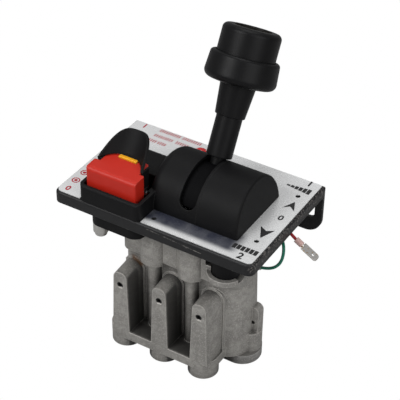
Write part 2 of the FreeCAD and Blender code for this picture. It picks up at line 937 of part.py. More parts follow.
def dome_end_cover():
    def half_round(x0, radius, end_x):
        solid = dome_solid(x0, dome_right_x + 1, radius)
        knife = box(0, 60, -60, 60, -20, 60)
        knife.rotate(V(0, 0, 0), Y, -dome_end_lean)
        knife.translate(V(end_x, axis_y, label_top_z))
        return solid.cut(knife)

    outer = half_round(dome_seam_x, dome_r, dome_right_x)
    rim = [
        edge
        for edge in outer.Edges
        if edge.BoundBox.XMin > dome_seam_x + 10 and edge.BoundBox.ZLength > dome_r * 0.6
        and edge.BoundBox.YLength > dome_r
    ]
    outer = outer.makeFillet(1.5, rim)
    inner = half_round(dome_seam_x - 1, dome_r - dome_wall, dome_right_x - dome_wall)
    inner = joined([inner, moved(inner, 0, 0, -1)])
    return outer.cut(inner)


# Lever: shaft, drum, cams, rod, knob, and the collar that lifts on the rod
def lower_opening():
    return fan(60, drum_span, 360 - drum_span, -60, 60)


def lever_drum():
    shell = crosswise(-drum_half, drum_half, 0, 0, drum_r)
    shell = shell.cut(crosswise(-drum_half - 1, drum_half + 1, 0, 0, drum_r - drum_wall))
    web = crosswise(-2, 2, 0, 0, drum_r - drum_wall + 0.5)
    hub = crosswise(-drum_half, drum_half, 0, 0, hub_r)
    drum = joined([joined([shell, web]).cut(lower_opening()), hub])
    holes = [crosswise(-30, 30, 0, 0, shaft_r), upright(0, 0, neck_foot, 60, neck_r)]
    return on_lever(drum.cut(holes))


def pivot_shaft():
    return crosswise(ear_left_x - 1.6, ear_right_x + ear_width + 1.6, axis_y, axis_z, shaft_r)


def shaft_rings():
    rings = []
    for x in (ear_left_x - 1.4, ear_right_x + ear_width + 0.4):
        ring = crosswise(x, x + 1, axis_y, axis_z, shaft_r + 2.2)
        rings.append(ring.cut(crosswise(x - 1, x + 2, axis_y, axis_z, shaft_r)))
    return group(rings)


def lever_cam(x, direction):
    plate = cam_plate(
        cam_low_r,
        cam_rise_per_degree,
        direction,
        lever_back,
        lever_forward,
        nose_r + nose_gap,
        6,
        hub_r,
        shaft_r,
    )
    return widened(plate, x - cam_half, x + cam_half, axis_y, axis_z)


def raise_cam():
    return lever_cam(spool_places[0], -1)


def lower_cam():
    return lever_cam(spool_places[1], 1)


def lever_stem():
    rod = turned(
        [
            (0, neck_foot, 0),
            (neck_r, neck_foot, 0),
            (neck_r, stem_foot, 0),
            (stem_r, stem_foot, 0.6),
            (stem_r, stem_top, 0.6),
            (neck_r, stem_top, 0),
            (neck_r, knob_recess_top + knob_socket, 0),
            (0, knob_recess_top + knob_socket, 0),
        ]
    )
    rod_bore = upright(0, 0, stem_foot - 6, lock_pin_at + collar_lift + 3, lock_rod_r + slide_fit)
    pin_half = lock_pin_r + free_gap
    pin_slot = box(
        -stem_r - 1,
        stem_r + 1,
        -pin_half,
        pin_half,
        lock_pin_at - pin_half,
        lock_pin_at + collar_lift + pin_half,
    )
    return on_lever(rod.cut([rod_bore, pin_slot]))


def lock_rod():
    return on_lever(upright(0, 0, stem_foot - 5.5, lock_pin_at + 2.5, lock_rod_r).cut(lock_pin_bar()))


def lock_pin_bar():
    return crosswise(-sleeve_foot_r - 0.6, sleeve_foot_r + 0.6, 0, lock_pin_at, lock_pin_r)


def lock_pin():
    return on_lever(lock_pin_bar())


def lift_collar():
    collar = turned(
        [
            (stem_r + slide_fit, sleeve_foot, 0),
            (sleeve_foot_r, sleeve_foot, 0.6),
            (sleeve_top_r, collar_foot, 0.8),
            (collar_foot_r, collar_foot, 4.5),
            (collar_top_r, collar_top, 2.4),
            (collar_cup_r, collar_top, 0),
            (collar_cup_r, collar_cup_floor, 0),
            (stem_r + slide_fit, collar_cup_floor, 0),
        ]
    )
    return on_lever(collar.cut(lock_pin_bar()))


def lever_knob():
    disc_foot = knob_top - knob_disc_depth - knob_disc_thickness
    knob = turned(
        [
            (neck_r, knob_recess_top, 0),
            (knob_recess_r, knob_recess_top, 0),
            (knob_recess_r, knob_foot, 0),
            (knob_r, knob_foot, 0.8),
            (knob_r, knob_top, 3.6),
            (knob_disc_r, knob_top, 0),
            (knob_disc_r, disc_foot, 0),
            (0, disc_foot, 0),
            (0, knob_recess_top + knob_socket, 0),
            (neck_r, knob_recess_top + knob_socket, 0),
        ]
    )
    return on_lever(knob)


def knob_disc():
    face = knob_top - knob_disc_depth
    return on_lever(upright(0, 0, face - knob_disc_thickness, face, knob_disc_r))


def collar_spring():
    spring = coil(collar_spring_r, collar_spring_wire, knob_recess_top - collar_cup_floor, 4)
    return on_lever(moved(spring, 0, 0, collar_cup_floor))


# Spools, their rings and springs
def nose_z(direction):
    reach = follower_reach(0, cam_low_r, cam_rise_per_degree, direction, lever_back, lever_forward)
    return axis_z - reach


first_groove = spool_land
second_land = first_groove + spool_narrow_groove
wide_groove = second_land + spool_land
top_land = wide_groove + spool_wide_groove
rod_foot = top_land + spool_top_land
ring_levels = (top_land + spool_top_land / 2, second_land + spool_land / 2, spool_land - 3.0)
ring_wire = 0.8
spring_seat = 4.0
spool_spring_r = 3.5
spool_spring_wire = 1.2


def spool(x, direction):
    top = nose_z(direction)
    foot = top - spool_length
    body = turned(
        [
            (0, foot, 0),
            (spool_r, foot, 0),
            (spool_r, foot + first_groove, 0),
            (spool_groove_r, foot + first_groove, 0),
            (spool_groove_r, foot + second_land, 0),
            (spool_r, foot + second_land, 0),
            (spool_r, foot + wide_groove, 0),
            (spool_groove_r, foot + wide_groove, 0),
            (spool_groove_r, foot + top_land, 0),
            (spool_r, foot + top_land, 0),
            (spool_r, foot + rod_foot, 0),
            (spool_rod_r, foot + rod_foot, 0),
            (spool_rod_r, top - 4, 0),
            (nose_r, top - 3.4, 0),
            (nose_r, top, 0),
            (0, top, 0),
        ]
    )
    body = joined([body, Part.makeSphere(nose_r, V(0, 0, top))])
    cuts = [upright(0, 0, foot - 1, foot + spring_seat, 4.6)]
    inner = spool_r - 2 * ring_wire
    for level in ring_levels:
        band = tube(0, 0, foot + level - ring_wire, foot + level + ring_wire, spool_r + 1, inner)
        cuts.append(band)
    return moved(body.cut(cuts), x, axis_y, 0)


def spool_rings(x, direction):
    foot = nose_z(direction) - spool_length
    middle_r = spool_r - ring_wire
    rings = [Part.makeTorus(middle_r, ring_wire, V(x, axis_y, foot + level)) for level in ring_levels]
    return group(rings)


def spool_spring(x, direction):
    foot = boss_height - 1.8
    length = nose_z(direction) - spool_length + spring_seat - foot
    return moved(coil(spool_spring_r, spool_spring_wire, length, 5), x, axis_y, foot)


# Switch lever, grip, catch and pin
def switch_lever():
    left = grip_left_x - 1
    right = grip_right_x + 0.2
    pieces = [crosswise(left, right, switch_y, switch_z, switch_hub_r)]
    arm = [
        (switch_y - 3.6, switch_z, 0),
        (switch_y + 3.6, switch_z, 0),
        (switch_y + 4.6, paddle_z + 1.5, 0),
        (switch_y + 3.6, paddle_z + 5.0, 1.2),
        (grip_step_y + 0.4, paddle_z + 2.6, 1.0),
        (grip_step_y + 0.4, grip_top_z - 3, 0),
    ]
    pieces.append(slab(arm, "x", left, grip_left_x + grip_step - 0.2))
    pieces.append(slab(arm, "x", grip_right_x - grip_step + 0.2, dome_left_x - free_gap))
    sheet_points = [
        (-paddle_base_half, 0, 0),
        (paddle_base_half, 0, 0),
        (paddle_top_half, paddle_reach, paddle_tip_r),
        (-paddle_top_half, paddle_reach, paddle_tip_r),
    ]
    blade = slab(sheet_points, "z", -20, 20)
    bow = Part.makeCylinder(paddle_bow_r + paddle_thickness, 60, V(0, -10, paddle_bow_r), Y)
    bow = bow.cut(Part.makeCylinder(paddle_bow_r, 62, V(0, -11, paddle_bow_r), Y))
    blade = blade.common(bow)
    blade.rotate(V(0, 0, 0), X, paddle_lean)
    blade.translate(V(paddle_x, paddle_y, paddle_z))
    pieces.append(blade)
    cam = cam_plate(
        switch_low_r,
        switch_rise_per_degree,
        -1,
        switch_swing,
        0,
        switch_nose_r + nose_gap,
        5,
        switch_hub_r,
        switch_pin_r,
    )
    pieces.append(widened(cam, paddle_x - 3, paddle_x + 3, switch_y, switch_z))
    lever = joined(pieces)
    return lever.cut(crosswise(left - 1, right + 1, switch_y, switch_z, switch_pin_r + slide_fit))


def switch_grip():
    plan = [
        (grip_left_x, grip_front_y, 1.2),
        (grip_right_x, grip_front_y, 1.2),
        (grip_right_x, grip_step_y, 1.0),
        (grip_right_x - grip_step, grip_step_y, 0),
        (grip_right_x - grip_step, grip_back_y, 2.5),
        (grip_left_x + grip_step, grip_back_y, 2.5),
        (grip_left_x + grip_step, grip_step_y, 0),
        (grip_left_x, grip_step_y, 1.0),
    ]
    block = slab(plan, "z", grip_under_z, grip_top_z)
    profile = [
        (grip_front_y - 1, grip_under_z, 0),
        (grip_back_y + 1, grip_under_z, 0),
        (grip_back_y + 1, grip_top_z, 0),
        (grip_front_y, grip_top_z, 3.0),
        (grip_front_y, grip_under_z + 0.5, 0),
    ]
    block = block.common(slab(profile, "x", grip_left_x - 1, grip_right_x + 1))
    cuts = [crosswise(grip_left_x - 1, grip_right_x + 1, switch_y, switch_z, switch_hub_r)]
    cuts.append(
        box(
            catch_left_x - 0.3,
            catch_right_x + 0.3,
            grip_back_y - 3.9,
            grip_back_y + 1,
            catch_under_z - catch_spring_length,
            grip_top_z + 1,
        )
    )
    cuts.append(crosswise(paddle_x - 3.2, paddle_x + 3.2, switch_y, switch_z, switch_low_r))
    return block.cut(cuts)


def switch_catch():
    return slab(
        [
            (grip_back_y - 3.6, catch_under_z, 0.4),
            (grip_back_y - 0.4, catch_under_z, 0.4),
            (grip_back_y - 0.4, catch_top_z - 0.6, 0.6),
            (grip_back_y - 3.6, catch_top_z, 0.6),
        ],
        "x",
        catch_left_x,
        catch_right_x,
    )


def catch_spring():
    spring = coil(1.2, 0.5, catch_spring_length, 6)
    foot = catch_under_z - catch_spring_length
    return moved(spring, (catch_left_x + catch_right_x) / 2, grip_back_y - 2.0, foot)


def switch_pin():
    return crosswise(well_left_x, well_notch_x + well_wall - 0.3, switch_y, switch_z, switch_pin_r)


# Switch valve under the plate, worked by the switch lever's cam
switch_nose_z = switch_z - follower_reach(0, switch_low_r, switch_rise_per_degree, -1, switch_swing, 0)
switch_bush_z = plate_under_z - 4.0
switch_travel = switch_rise_per_degree * switch_swing
switch_floor_z = valve_bottom_z + 1.0
switch_duct_z = valve_bottom_z + 3.1
switch_land_z = switch_bush_z - 0.4


def switch_valve_body():
    body = slab(
        [
            (valve_left_x, valve_front_y, valve_corner_r),
            (valve_right_x, valve_front_y, valve_corner_r),
            (valve_right_x, valve_step_y, 1.5),
            (valve_step_x, valve_step_y, 0),
            (valve_step_x, valve_back_y, 2),
            (valve_left_x, valve_back_y, 2),
        ],
        "z",
        valve_bottom_z,
        plate_under_z,
    )
    holes = [
        upright(paddle_x, switch_y, switch_floor_z, plate_under_z, switch_spool_r + slide_fit),
        upright(paddle_x, switch_y, switch_bush_z, plate_under_z + 1, switch_spool_r + 1.5),
        upright(fitting_x, fitting_y, valve_bottom_z - 1, valve_bottom_z + 5, tube_bore_r),
        bar(V(fitting_x, fitting_y, switch_duct_z), V(paddle_x, switch_y, switch_duct_z), 1.2),
    ]
    for x, y in valve_screw_places:
        holes.append(upright(x, y, plate_under_z - 11, plate_under_z + 1, plate_screw_r + screw_fit))
    return body.cut(holes)


def switch_valve_screws():
    return group([screw(x, y, plate_top_z, 3.4, 2.2, plate_screw_r, 12, 1) for x, y in valve_screw_places])


def switch_guide():
    return tube(
        paddle_x, switch_y, switch_bush_z, plate_under_z, switch_spool_r + 1.5, switch_nose_r + slide_fit
    )


def switch_plunger():
    foot = switch_land_z - 6.0
    body = turned(
        [
            (0, foot, 0),
            (switch_spool_r, foot, 0),
            (switch_spool_r, switch_land_z, 0),
            (switch_nose_r, switch_land_z, 0),
            (switch_nose_r, switch_nose_z, 0),
            (0, switch_nose_z, 0),
        ]
    )
    body = joined([body, Part.makeSphere(switch_nose_r, V(0, 0, switch_nose_z))])
    groove = tube(0, 0, foot + 2.2, foot + 3.6, switch_spool_r + 1, switch_spool_r - 1.4)
    return moved(body.cut(groove), paddle_x, switch_y, 0)


def switch_plunger_ring():
    foot = switch_land_z - 6.0
    return Part.makeTorus(switch_spool_r - 0.7, 0.7, V(paddle_x, switch_y, foot + 2.9))


def switch_spring():
    foot = switch_land_z - 6.0
    spring = coil(2.6, 0.7, foot - switch_floor_z, 3)
    return moved(spring, paddle_x, switch_y, switch_floor_z)


def air_fitting():
    body = turned(
        [
            (tube_bore_r, fitting_bottom_z, 0),
            (fitting_r - 1, fitting_bottom_z, 0.8),
            (fitting_r - 1, fitting_bottom_z + 3, 0),
            (fitting_r, fitting_bottom_z + 3, 0),
            (fitting_r, valve_bottom_z, 0),
            (tube_bore_r, valve_bottom_z, 0),
        ]
    )
    return moved(body, fitting_x, fitting_y, 0)


# Indicator lamp on the label
def lamp_lens():
    lens = upright(lamp_x, lamp_y, plate_under_z, label_top_z + 0.6, lens_r)
    bulge = Part.makeSphere(lens_r * 1.5, V(lamp_x, lamp_y, label_top_z + 0.6 - lens_r * 1.12))
    cap = bulge.common(upright(lamp_x, lamp_y, label_top_z, label_top_z + 5, lens_r))
    return joined([lens, cap])


def lamp_body():
    flange = upright(lamp_x, lamp_y, plate_under_z - 2, plate_under_z, lamp_r + 1.5)
    return joined([flange, upright(lamp_x, lamp_y, lamp_bottom_z, plate_under_z - 1, lamp_r)])


# Wires: straight runs with tangent arcs, and the terminals on their ends
earth_y = 24.0
earth_z = 82.2
earth_eye_r = 4.2
red_way = [
    V(lamp_x + lamp_r, lamp_y + 1.5, 105.0),
    V(9.0, 73.5, 104.0),
    V(33.0, 70.5, 104.5),
    V(57.0, 63.0, 107.0),
    V(64.5, 40.0, 111.0),
    V(76.6, 40.0, 103.8),
]
green_way = [
    V(lamp_x + lamp_r, lamp_y - 2.2, 102.5),
    V(9.0, 68.5, 101.0),
    V(32.0, 66.0, 101.0),
    V(55.0, 59.5, 102.5),
    V(65.5, 37.5, 106.0),
    V(73.5, 27.5, 104.6),
    V(71.8, 27.5, 91.6),
    V(64.0, 27.8, 82.8),
    V(55.6, 29.8, 79.6),
]


def wire_path(points):
    """Straight runs joined by arcs that use nine tenths of half the shorter run."""
    edges = []
    here = points[0]
    for i in range(1, len(points) - 1):
        corner = points[i]
        back = points[i - 1] - corner
        on = points[i + 1] - corner
        reach = 0.45 * min(back.Length, on.Length)
        back.normalize()
        on.normalize()
        turn = math.pi - back.getAngle(on)
        radius = reach / math.tan(turn / 2)
        start = corner + back * reach
        end = corner + on * reach
        middle_line = (back + on).normalize()
        middle = corner + middle_line * (radius / math.cos(turn / 2) - radius)
        edges.append(Part.makeLine(here, start))
        edges.append(Part.Arc(start, middle, end).toShape())
        here = end
        print("wire turn", round(math.degrees(turn), 1), "radius", round(radius, 1))
    edges.append(Part.makeLine(here, points[-1]))
    return Part.Wire(edges)


def wire(points):
    path = wire_path(points)
    section = Part.Wire(Part.makeCircle(wire_r, points[0], points[1] - points[0]))
    shape = path.makePipeShell([section], True, False)
    print("wire length", round(path.Length, 1), "volume", round(shape.Volume, 1),
          "section times length", round(math.pi * wire_r ** 2 * path.Length, 1))
    return shape


def along(start, direction, distance):
    return start + direction * distance


def red_terminal():
    end = red_way[-1]
    way = (end - red_way[-2]).normalize()
    barrel = bar(end, along(end, way, 5.0), crimp_r)
    blade = Part.makeBox(12.6, blade_width, blade_thickness, V(4.6, -blade_width / 2, -blade_thickness / 2))
    tip = slab(
        [(4.6, -blade_width / 2, 0), (17.2, -blade_width / 2, 2.2), (17.2, blade_width / 2, 2.2),
         (4.6, blade_width / 2, 0)],
        "z", -1, 1,
    )
    blade = blade.common(tip)
    blade = blade.cut(upright(13.2, 0, -2, 2, 1.0))
    blade.rotate(V(0, 0, 0), Y, math.degrees(math.atan2(-way.z, way.x)))
    blade.translate(end)
    return joined([barrel, blade])


def terminal_sleeve():
    end = red_way[-1]
    way = (end - red_way[-2]).normalize()
    start = along(end, way, -1.7)
    outer = bar(start, along(end, way, 3.8), crimp_r + 0.6)
    inner = [bar(start, end, wire_r), bar(end, along(end, way, 6), crimp_r)]
    return outer.cut(inner)


def earth_terminal():
    end = green_way[-1]
    way = (end - green_way[-2]).normalize()
    barrel = bar(end, along(end, way, 4.2), earth_crimp_r)
    barrel = barrel.common(box(block_right_x + 0.5, 80, 0, 60, 0, 200))
    eye = crosswise(block_right_x, block_right_x + 1.2, earth_y, earth_z, earth_eye_r)
    tab = box(block_right_x + 0.5, block_right_x + 1.2, earth_y + 1, end.y + 2.8, earth_z - 5, earth_z + 1)
    tag = joined([barrel, tab, eye])
    return tag.cut(crosswise(block_right_x - 1, block_right_x + 4, earth_y, earth_z, 2 + screw_fit))


def earth_screw():
    head = crosswise(block_right_x + 1.2, block_right_x + 3.8, earth_y, earth_z, 3.2)
    shank = crosswise(block_right_x - 7, block_right_x + 2, earth_y, earth_z, 2.0)
    return joined([head, shank])


pieces = {
    "valve_body": valve_body(),
    "bottom_cover": bottom_cover(),
    "bottom_cover_gasket": bottom_cover_gasket(),
    "bottom_cover_screws": bottom_cover_screws(),
    "body_gasket": body_gasket(),
    "pivot_housing": pivot_housing(),
    "housing_screws": housing_screws(),
    "rod_guides": rod_guides(),
    "shaft_bushes": shaft_bushes(),
    "mounting_plate": mounting_plate(),
    "face_label": face_label(),
    "plate_screws": plate_screws(),
    "control_cover": control_cover(),
    "dome_end_cover": dome_end_cover(),
    "pivot_shaft": pivot_shaft(),
    "shaft_rings": shaft_rings(),
    "lever_drum": lever_drum(),
    "raise_cam": raise_cam(),
    "lower_cam": lower_cam(),
    "lever_stem": lever_stem(),
    "lever_knob": lever_knob(),
    "knob_disc": knob_disc(),
    "lift_collar": lift_collar(),
    "lock_rod": lock_rod(),
    "lock_pin": lock_pin(),
    "collar_spring": collar_spring(),
    "raise_spool": spool(spool_places[0], -1),
    "raise_spool_rings": spool_rings(spool_places[0], -1),
    "raise_spring": spool_spring(spool_places[0], -1),
    "lower_spool": spool(spool_places[1], 1),
    "lower_spool_rings": spool_rings(spool_places[1], 1),
    "lower_spring": spool_spring(spool_places[1], 1),
    "switch_lever": switch_lever(),
    "switch_grip": switch_grip(),
    "switch_catch": switch_catch(),
    "catch_spring": catch_spring(),
    "switch_pin": switch_pin(),
    "switch_valve_body": switch_valve_body(),
    "switch_valve_screws": switch_valve_screws(),
    "switch_guide": switch_guide(),
    "switch_plunger": switch_plunger(),
    "switch_plunger_ring": switch_plunger_ring(),
    "switch_spring": switch_spring(),
    "air_fitting": air_fitting(),
    "lamp_lens": lamp_lens(),
    "lamp_body": lamp_body(),
    "red_wire": wire(red_way),
    "red_terminal": red_terminal(),
    "terminal_sleeve": terminal_sleeve(),
    "green_wire": wire(green_way),
    "earth_terminal": earth_terminal(),
    "earth_screw": earth_screw(),
}

for name, shape in pieces.items():
    shape.exportStep("parts/" + name + ".step")
    size = shape.BoundBox
    print(name, len(shape.Solids), "solids, valid", shape.isValid(), "volume", round(shape.Volume, 1),
          [round(v, 1) for v in (size.XMin, size.XMax, size.YMin, size.YMax, size.ZMin, size.ZMax)])
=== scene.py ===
import json
import math

import bmesh
import bpy
from mathutils import Matrix, Vector


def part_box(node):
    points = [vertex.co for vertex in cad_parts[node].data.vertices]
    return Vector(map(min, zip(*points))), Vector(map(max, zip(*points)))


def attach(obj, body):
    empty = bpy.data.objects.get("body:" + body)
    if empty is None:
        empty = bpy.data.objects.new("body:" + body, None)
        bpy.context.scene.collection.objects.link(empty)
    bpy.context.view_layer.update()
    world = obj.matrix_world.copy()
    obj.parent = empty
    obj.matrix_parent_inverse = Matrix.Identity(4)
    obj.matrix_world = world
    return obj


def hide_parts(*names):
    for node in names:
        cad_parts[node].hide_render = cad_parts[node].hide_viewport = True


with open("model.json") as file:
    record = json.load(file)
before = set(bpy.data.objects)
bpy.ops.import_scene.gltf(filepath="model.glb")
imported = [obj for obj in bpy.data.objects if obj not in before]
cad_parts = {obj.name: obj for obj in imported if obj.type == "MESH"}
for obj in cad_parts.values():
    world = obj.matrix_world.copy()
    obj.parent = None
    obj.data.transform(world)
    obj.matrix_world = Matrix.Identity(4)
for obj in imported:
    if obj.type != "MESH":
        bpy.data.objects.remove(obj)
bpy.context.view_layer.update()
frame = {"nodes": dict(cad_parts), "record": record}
nodes = frame["nodes"]

MM = 0.001

# Heights and places on the part, in millimetres, that the pieces below share
label_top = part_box("face_label")[1].z / MM
print_thickness = 0.05
port_places = (-31.0, 0.0, 31.0)
port_bore_r = 5.9
port_bore_depth = 12.0
front_lip_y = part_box("mounting_plate")[0].y / MM
rib_face_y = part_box("valve_body")[0].y / MM
rib_places = (-29.0, 2.0, 33.0)
rib_hole_z = 55.4


def metres(x, y, z):
    return Vector((x * MM, y * MM, z * MM))


# Camera at the photograph's angle
view_target = metres(10.8, 26.1, 119.5)
view_azimuth = math.radians(30.645)
view_elevation = math.radians(37.013)
view_roll = math.radians(0.932)
view_distance = 0.87415
focal_length_px = 1340.25
image_width_px = 400


def add_camera():
    camera = bpy.data.cameras.new("photo_camera")
    camera.sensor_width = 36.0
    camera.lens = focal_length_px * camera.sensor_width / image_width_px
    camera.clip_end = 20.0
    piece = bpy.data.objects.new("photo_camera", camera)
    bpy.context.scene.collection.objects.link(piece)
    level = math.cos(view_elevation)
    sideways = math.sin(view_azimuth) * level
    forwards = -math.cos(view_azimuth) * level
    away = Vector((sideways, forwards, math.sin(view_elevation)))
    turn = (-away).to_track_quat("-Z", "Y").to_matrix() @ Matrix.Rotation(view_roll, 3, "Z")
    piece.matrix_world = Matrix.Translation(view_target + away * view_distance) @ turn.to_4x4()
    bpy.context.scene.camera = piece


class Value:
    """An output socket that Python's operators turn into Math nodes."""

    def __init__(self, graph, socket):
        self.graph = graph
        self.socket = socket

    def math(self, operation, first, second):
        return self.graph.node("ShaderNodeMath", {"operation": operation}, {0: first, 1: second})

    def __add__(self, other):
        return self.math("ADD", self, other)

    def __radd__(self, other):
        return self.math("ADD", other, self)

    def __sub__(self, other):
        return self.math("SUBTRACT", self, other)

    def __rsub__(self, other):
        return self.math("SUBTRACT", other, self)

    def __mul__(self, other):
        return self.math("MULTIPLY", self, other)

    def __rmul__(self, other):
        return self.math("MULTIPLY", other, self)

    def also(self, name):
        """Another output of the same node."""
        return Value(self.graph, self.socket.node.outputs[name])


class Graph:
    """Adds nodes to a tree: the settings of each are set first, then its sockets."""

    def __init__(self, tree):
        self.tree = tree

    def node(self, kind, settings=None, inputs=None, output=0):
        made = self.tree.nodes.new(kind)
        for name, value in (settings or {}).items():
            setattr(made, name, value)
        for name, value in (inputs or {}).items():
            if isinstance(value, Value):
                self.tree.links.new(value.socket, made.inputs[name])
            else:
                made.inputs[name].default_value = value
        return Value(self, made.outputs[output] if len(made.outputs) else None)


class Finish(Graph):
    """A procedural material that reads the piece's own coordinates in metres."""

    def __init__(self, name):
        self.material = bpy.data.materials.new(name)
        self.material.use_nodes = True
        super().__init__(self.material.node_tree)
        self.shader = self.tree.nodes["Principled BSDF"]
        self.place = self.node("ShaderNodeTexCoord", output="Object")

    def axes(self):
        x = self.node("ShaderNodeSeparateXYZ", inputs={0: self.place})
        return x, x.also("Y"), x.also("Z")

    def noise(self, per_metre, detail=2.0, roughness=0.5, stretch=(1.0, 1.0, 1.0)):
        place = self.node(
            "ShaderNodeVectorMath", {"operation": "MULTIPLY"}, {0: self.place, 1: stretch}
        )
        return self.node(
            "ShaderNodeTexNoise",
            inputs={"Vector": place, "Scale": per_metre, "Detail": detail, "Roughness": roughness},
        )

    def step(self, value, low, high):
        """0 below low and 1 above high, or the other way round if low is the larger."""
        return self.node(
            "ShaderNodeMapRange",
            {"interpolation_type": "SMOOTHSTEP"},
            {"Value": value, "From Min": low, "From Max": high},
        )

    def within(self, value, edges):
        """1 between two edges; each edge says, in millimetres, where it is 0 and where it is 1."""
        (start_none, start_full), (end_none, end_full) = edges
        after_start = self.step(value, start_none * MM, start_full * MM)
        return after_start * self.step(value, end_none * MM, end_full * MM)

    def mix(self, factor, first, second):
        return self.node("ShaderNodeMix", {"data_type": "RGBA"}, {0: factor, 6: first, 7: second}, 2)

    def distance_to_line(self, start, end):
        """Distance in metres from a straight line between two points."""
        run = end - start
        away = self.node("ShaderNodeVectorMath", {"operation": "SUBTRACT"}, {0: self.place, 1: start})
        along = self.node("ShaderNodeVectorMath", {"operation": "DOT_PRODUCT"}, {0: away, 1: run}, "Value")
        share = self.node(
            "ShaderNodeMath",
            {"operation": "MULTIPLY", "use_clamp": True},
            {0: along, 1: 1 / run.length_squared},
        )
        reach = self.node("ShaderNodeVectorMath", {"operation": "SCALE"}, {0: run, "Scale": share})
        gap = self.node("ShaderNodeVectorMath", {"operation": "SUBTRACT"}, {0: away, 1: reach})
        return self.node("ShaderNodeVectorMath", {"operation": "LENGTH"}, {0: gap}, "Value")

    def rounded(self, radius):
        """Normal of the surface as if its edges were rounded."""
        return self.node("ShaderNodeBevel", {"samples": 6}, {"Radius": radius})

    def edges(self, radius):
        """1 on an edge and 0 on a flat."""
        soft = self.rounded(radius)
        true = self.node("ShaderNodeNewGeometry", output="Normal")
        same = self.node("ShaderNodeVectorMath", {"operation": "DOT_PRODUCT"}, {0: soft, 1: true}, "Value")
        return self.step(same, 0.995, 0.86)

    def recesses(self, reach):
        """1 deep in a corner and 0 in the open."""
        open_share = self.node("ShaderNodeAmbientOcclusion", {"samples": 8}, {"Distance": reach}, "AO")
        return self.step(open_share, 0.75, 0.15)

    def bump(self, height, distance, normal=None):
        inputs = {"Height": height, "Distance": distance, "Strength": 1.0}
        if normal is not None:
            inputs["Normal"] = normal
        return self.node("ShaderNodeBump", inputs=inputs)

    def finish(self, **sockets):
        """Feeds the shader's sockets, whose names are written with underscores."""
        for name, value in sockets.items():
            socket = self.shader.inputs[name.replace("_", " ").title().replace("Ior", "IOR")]
            if isinstance(value, Value):
                self.tree.links.new(value.socket, socket)
            else:
                socket.default_value = value
        return self.material


def colour(red, green, blue):
    return (red, green, blue, 1.0)


def scaled(shade, share):
    """A shade made darker or paler by a share."""
    return colour(*(share * c for c in shade))


# Where shade is painted into the pockets between the casting's ribs, and where rust stains it beside one of
# them
pocket_shade_left_x = ((-24.6, -23.6), (-4.0, -5.0))
pocket_shade_right_x = ((6.4, 7.4), (27.0, 26.0))
pocket_shade_y = ((-10.4, -8.6), (3.0, 1.0))
pocket_shade_none_z = 66.0
pocket_shade_full_z = 62.0
stain_start = metres(-29.5, 7.2, 67.0)
stain_end = metres(-23.4, 7.2, 63.5)

# Tool marks on the turned faces of the ports
tool_mark_pitch = 0.8
turned_top_z = 7.5
turned_fade = 0.7

# Where the label gets a painted reflection of the dome, darker in front of it
painted_reflection_x = ((-26.0, -12.0), (60.0, 50.0))
painted_reflection_y = ((-11.8, -7.0), (12.0, 6.0))


# Finishes
def painted_pocket_shade(f, x, y, z):
    """Mask of painted shade: 1 inside the pockets between the ribs and 0 elsewhere."""
    across_pockets = f.within(x, pocket_shade_left_x) + f.within(x, pocket_shade_right_x)
    return across_pockets * f.within(y, pocket_shade_y) * f.step(z, pocket_shade_none_z * MM, pocket_shade_full_z * MM)


def cast_finish(name, shade, grain_depth):
    """Sand-cast aluminium: grainy, patchy, paler on open edges, with painted shade in its recesses and in
    the pockets between the ribs.
    """
    f = Finish(name)
    x, y, z = f.axes()
    patches = f.step(f.noise(70, 4.0), 0.38, 0.62)
    mottle = f.step(f.noise(300, 4.0, 0.65), 0.40, 0.62)
    specks = f.step(f.noise(1100, 1.0), 0.58, 0.66)
    open_edges = f.edges(0.0011) * (1.0 - f.recesses(0.004))
    base = f.mix(patches, scaled(shade, 0.84), scaled(shade, 1.10))
    base = f.mix(mottle * 0.45, base, scaled(shade, 0.60))
    base = f.mix(specks * 0.50, base, scaled(shade, 1.55))
    # Painted shade: darker deep in recesses, by ambient occlusion
    base = f.mix(f.recesses(0.030) * 0.92, base, scaled(shade, 0.10))
    base = f.mix(open_edges * 0.80, base, scaled(shade, 1.7))
    stain_gap = f.distance_to_line(stain_start, stain_end) + f.noise(400) * 0.0022
    base = f.mix(f.step(stain_gap, 0.0040, 0.0012) * 0.9, base, colour(0.11, 0.050, 0.016))
    # Painted shade: a dark ring round each rib's hole, where the hole's mouth lies in shadow, with a bright
    # burr below it
    for hole_x in rib_places:
        mouth = metres(hole_x, rib_face_y, rib_hole_z)
        ring = f.distance_to_line(mouth, mouth + metres(0, 2.0, 0)) + f.noise(900, 2.0) * 0.0008
        burr = f.distance_to_line(mouth + metres(-0.9, 0, -2.5), mouth + metres(1.3, 0, -2.1))
        burr = burr + f.noise(900, 3.0) * 0.0016
        base = f.mix(f.step(ring, 0.0030, 0.0024), base, colour(0.006, 0.006, 0.006))
        base = f.mix(f.step(burr, 0.0017, 0.0012), base, scaled(shade, 1.9))
    # Painted shade: darker in the pockets between the ribs
    base = f.mix(painted_pocket_shade(f, x, y, z) * 0.80, base, scaled(shade, 0.12))
    # Sand grain all over, and tool marks on the turned faces of the ports
    marks = f.node("ShaderNodeMath", {"operation": "SINE"}, {0: z * (math.tau / (tool_mark_pitch * MM))})
    marks = marks * f.step(z, turned_top_z * MM, (turned_top_z - turned_fade) * MM)
    height = f.noise(1500, 3.0, 0.6) + f.noise(420, 2.0) * 0.8 + marks * 0.35
    normal = f.bump(height, grain_depth, f.rounded(0.0008))
    rough = 0.50 + 0.16 * f.noise(260)
    return f.finish(base_color=base, metallic=0.45, roughness=rough, normal=normal)


# Rubbed streaks on the plate's front lip: where each starts and ends
lip_streaks = (
    (metres(-3.7, front_lip_y, 117.0), metres(14.0, front_lip_y, 116.0)),
    (metres(3.0, front_lip_y, 116.6), metres(36.4, front_lip_y, 114.4)),
    (metres(24.6, front_lip_y, 114.6), metres(26.4, front_lip_y, 114.3)),
)


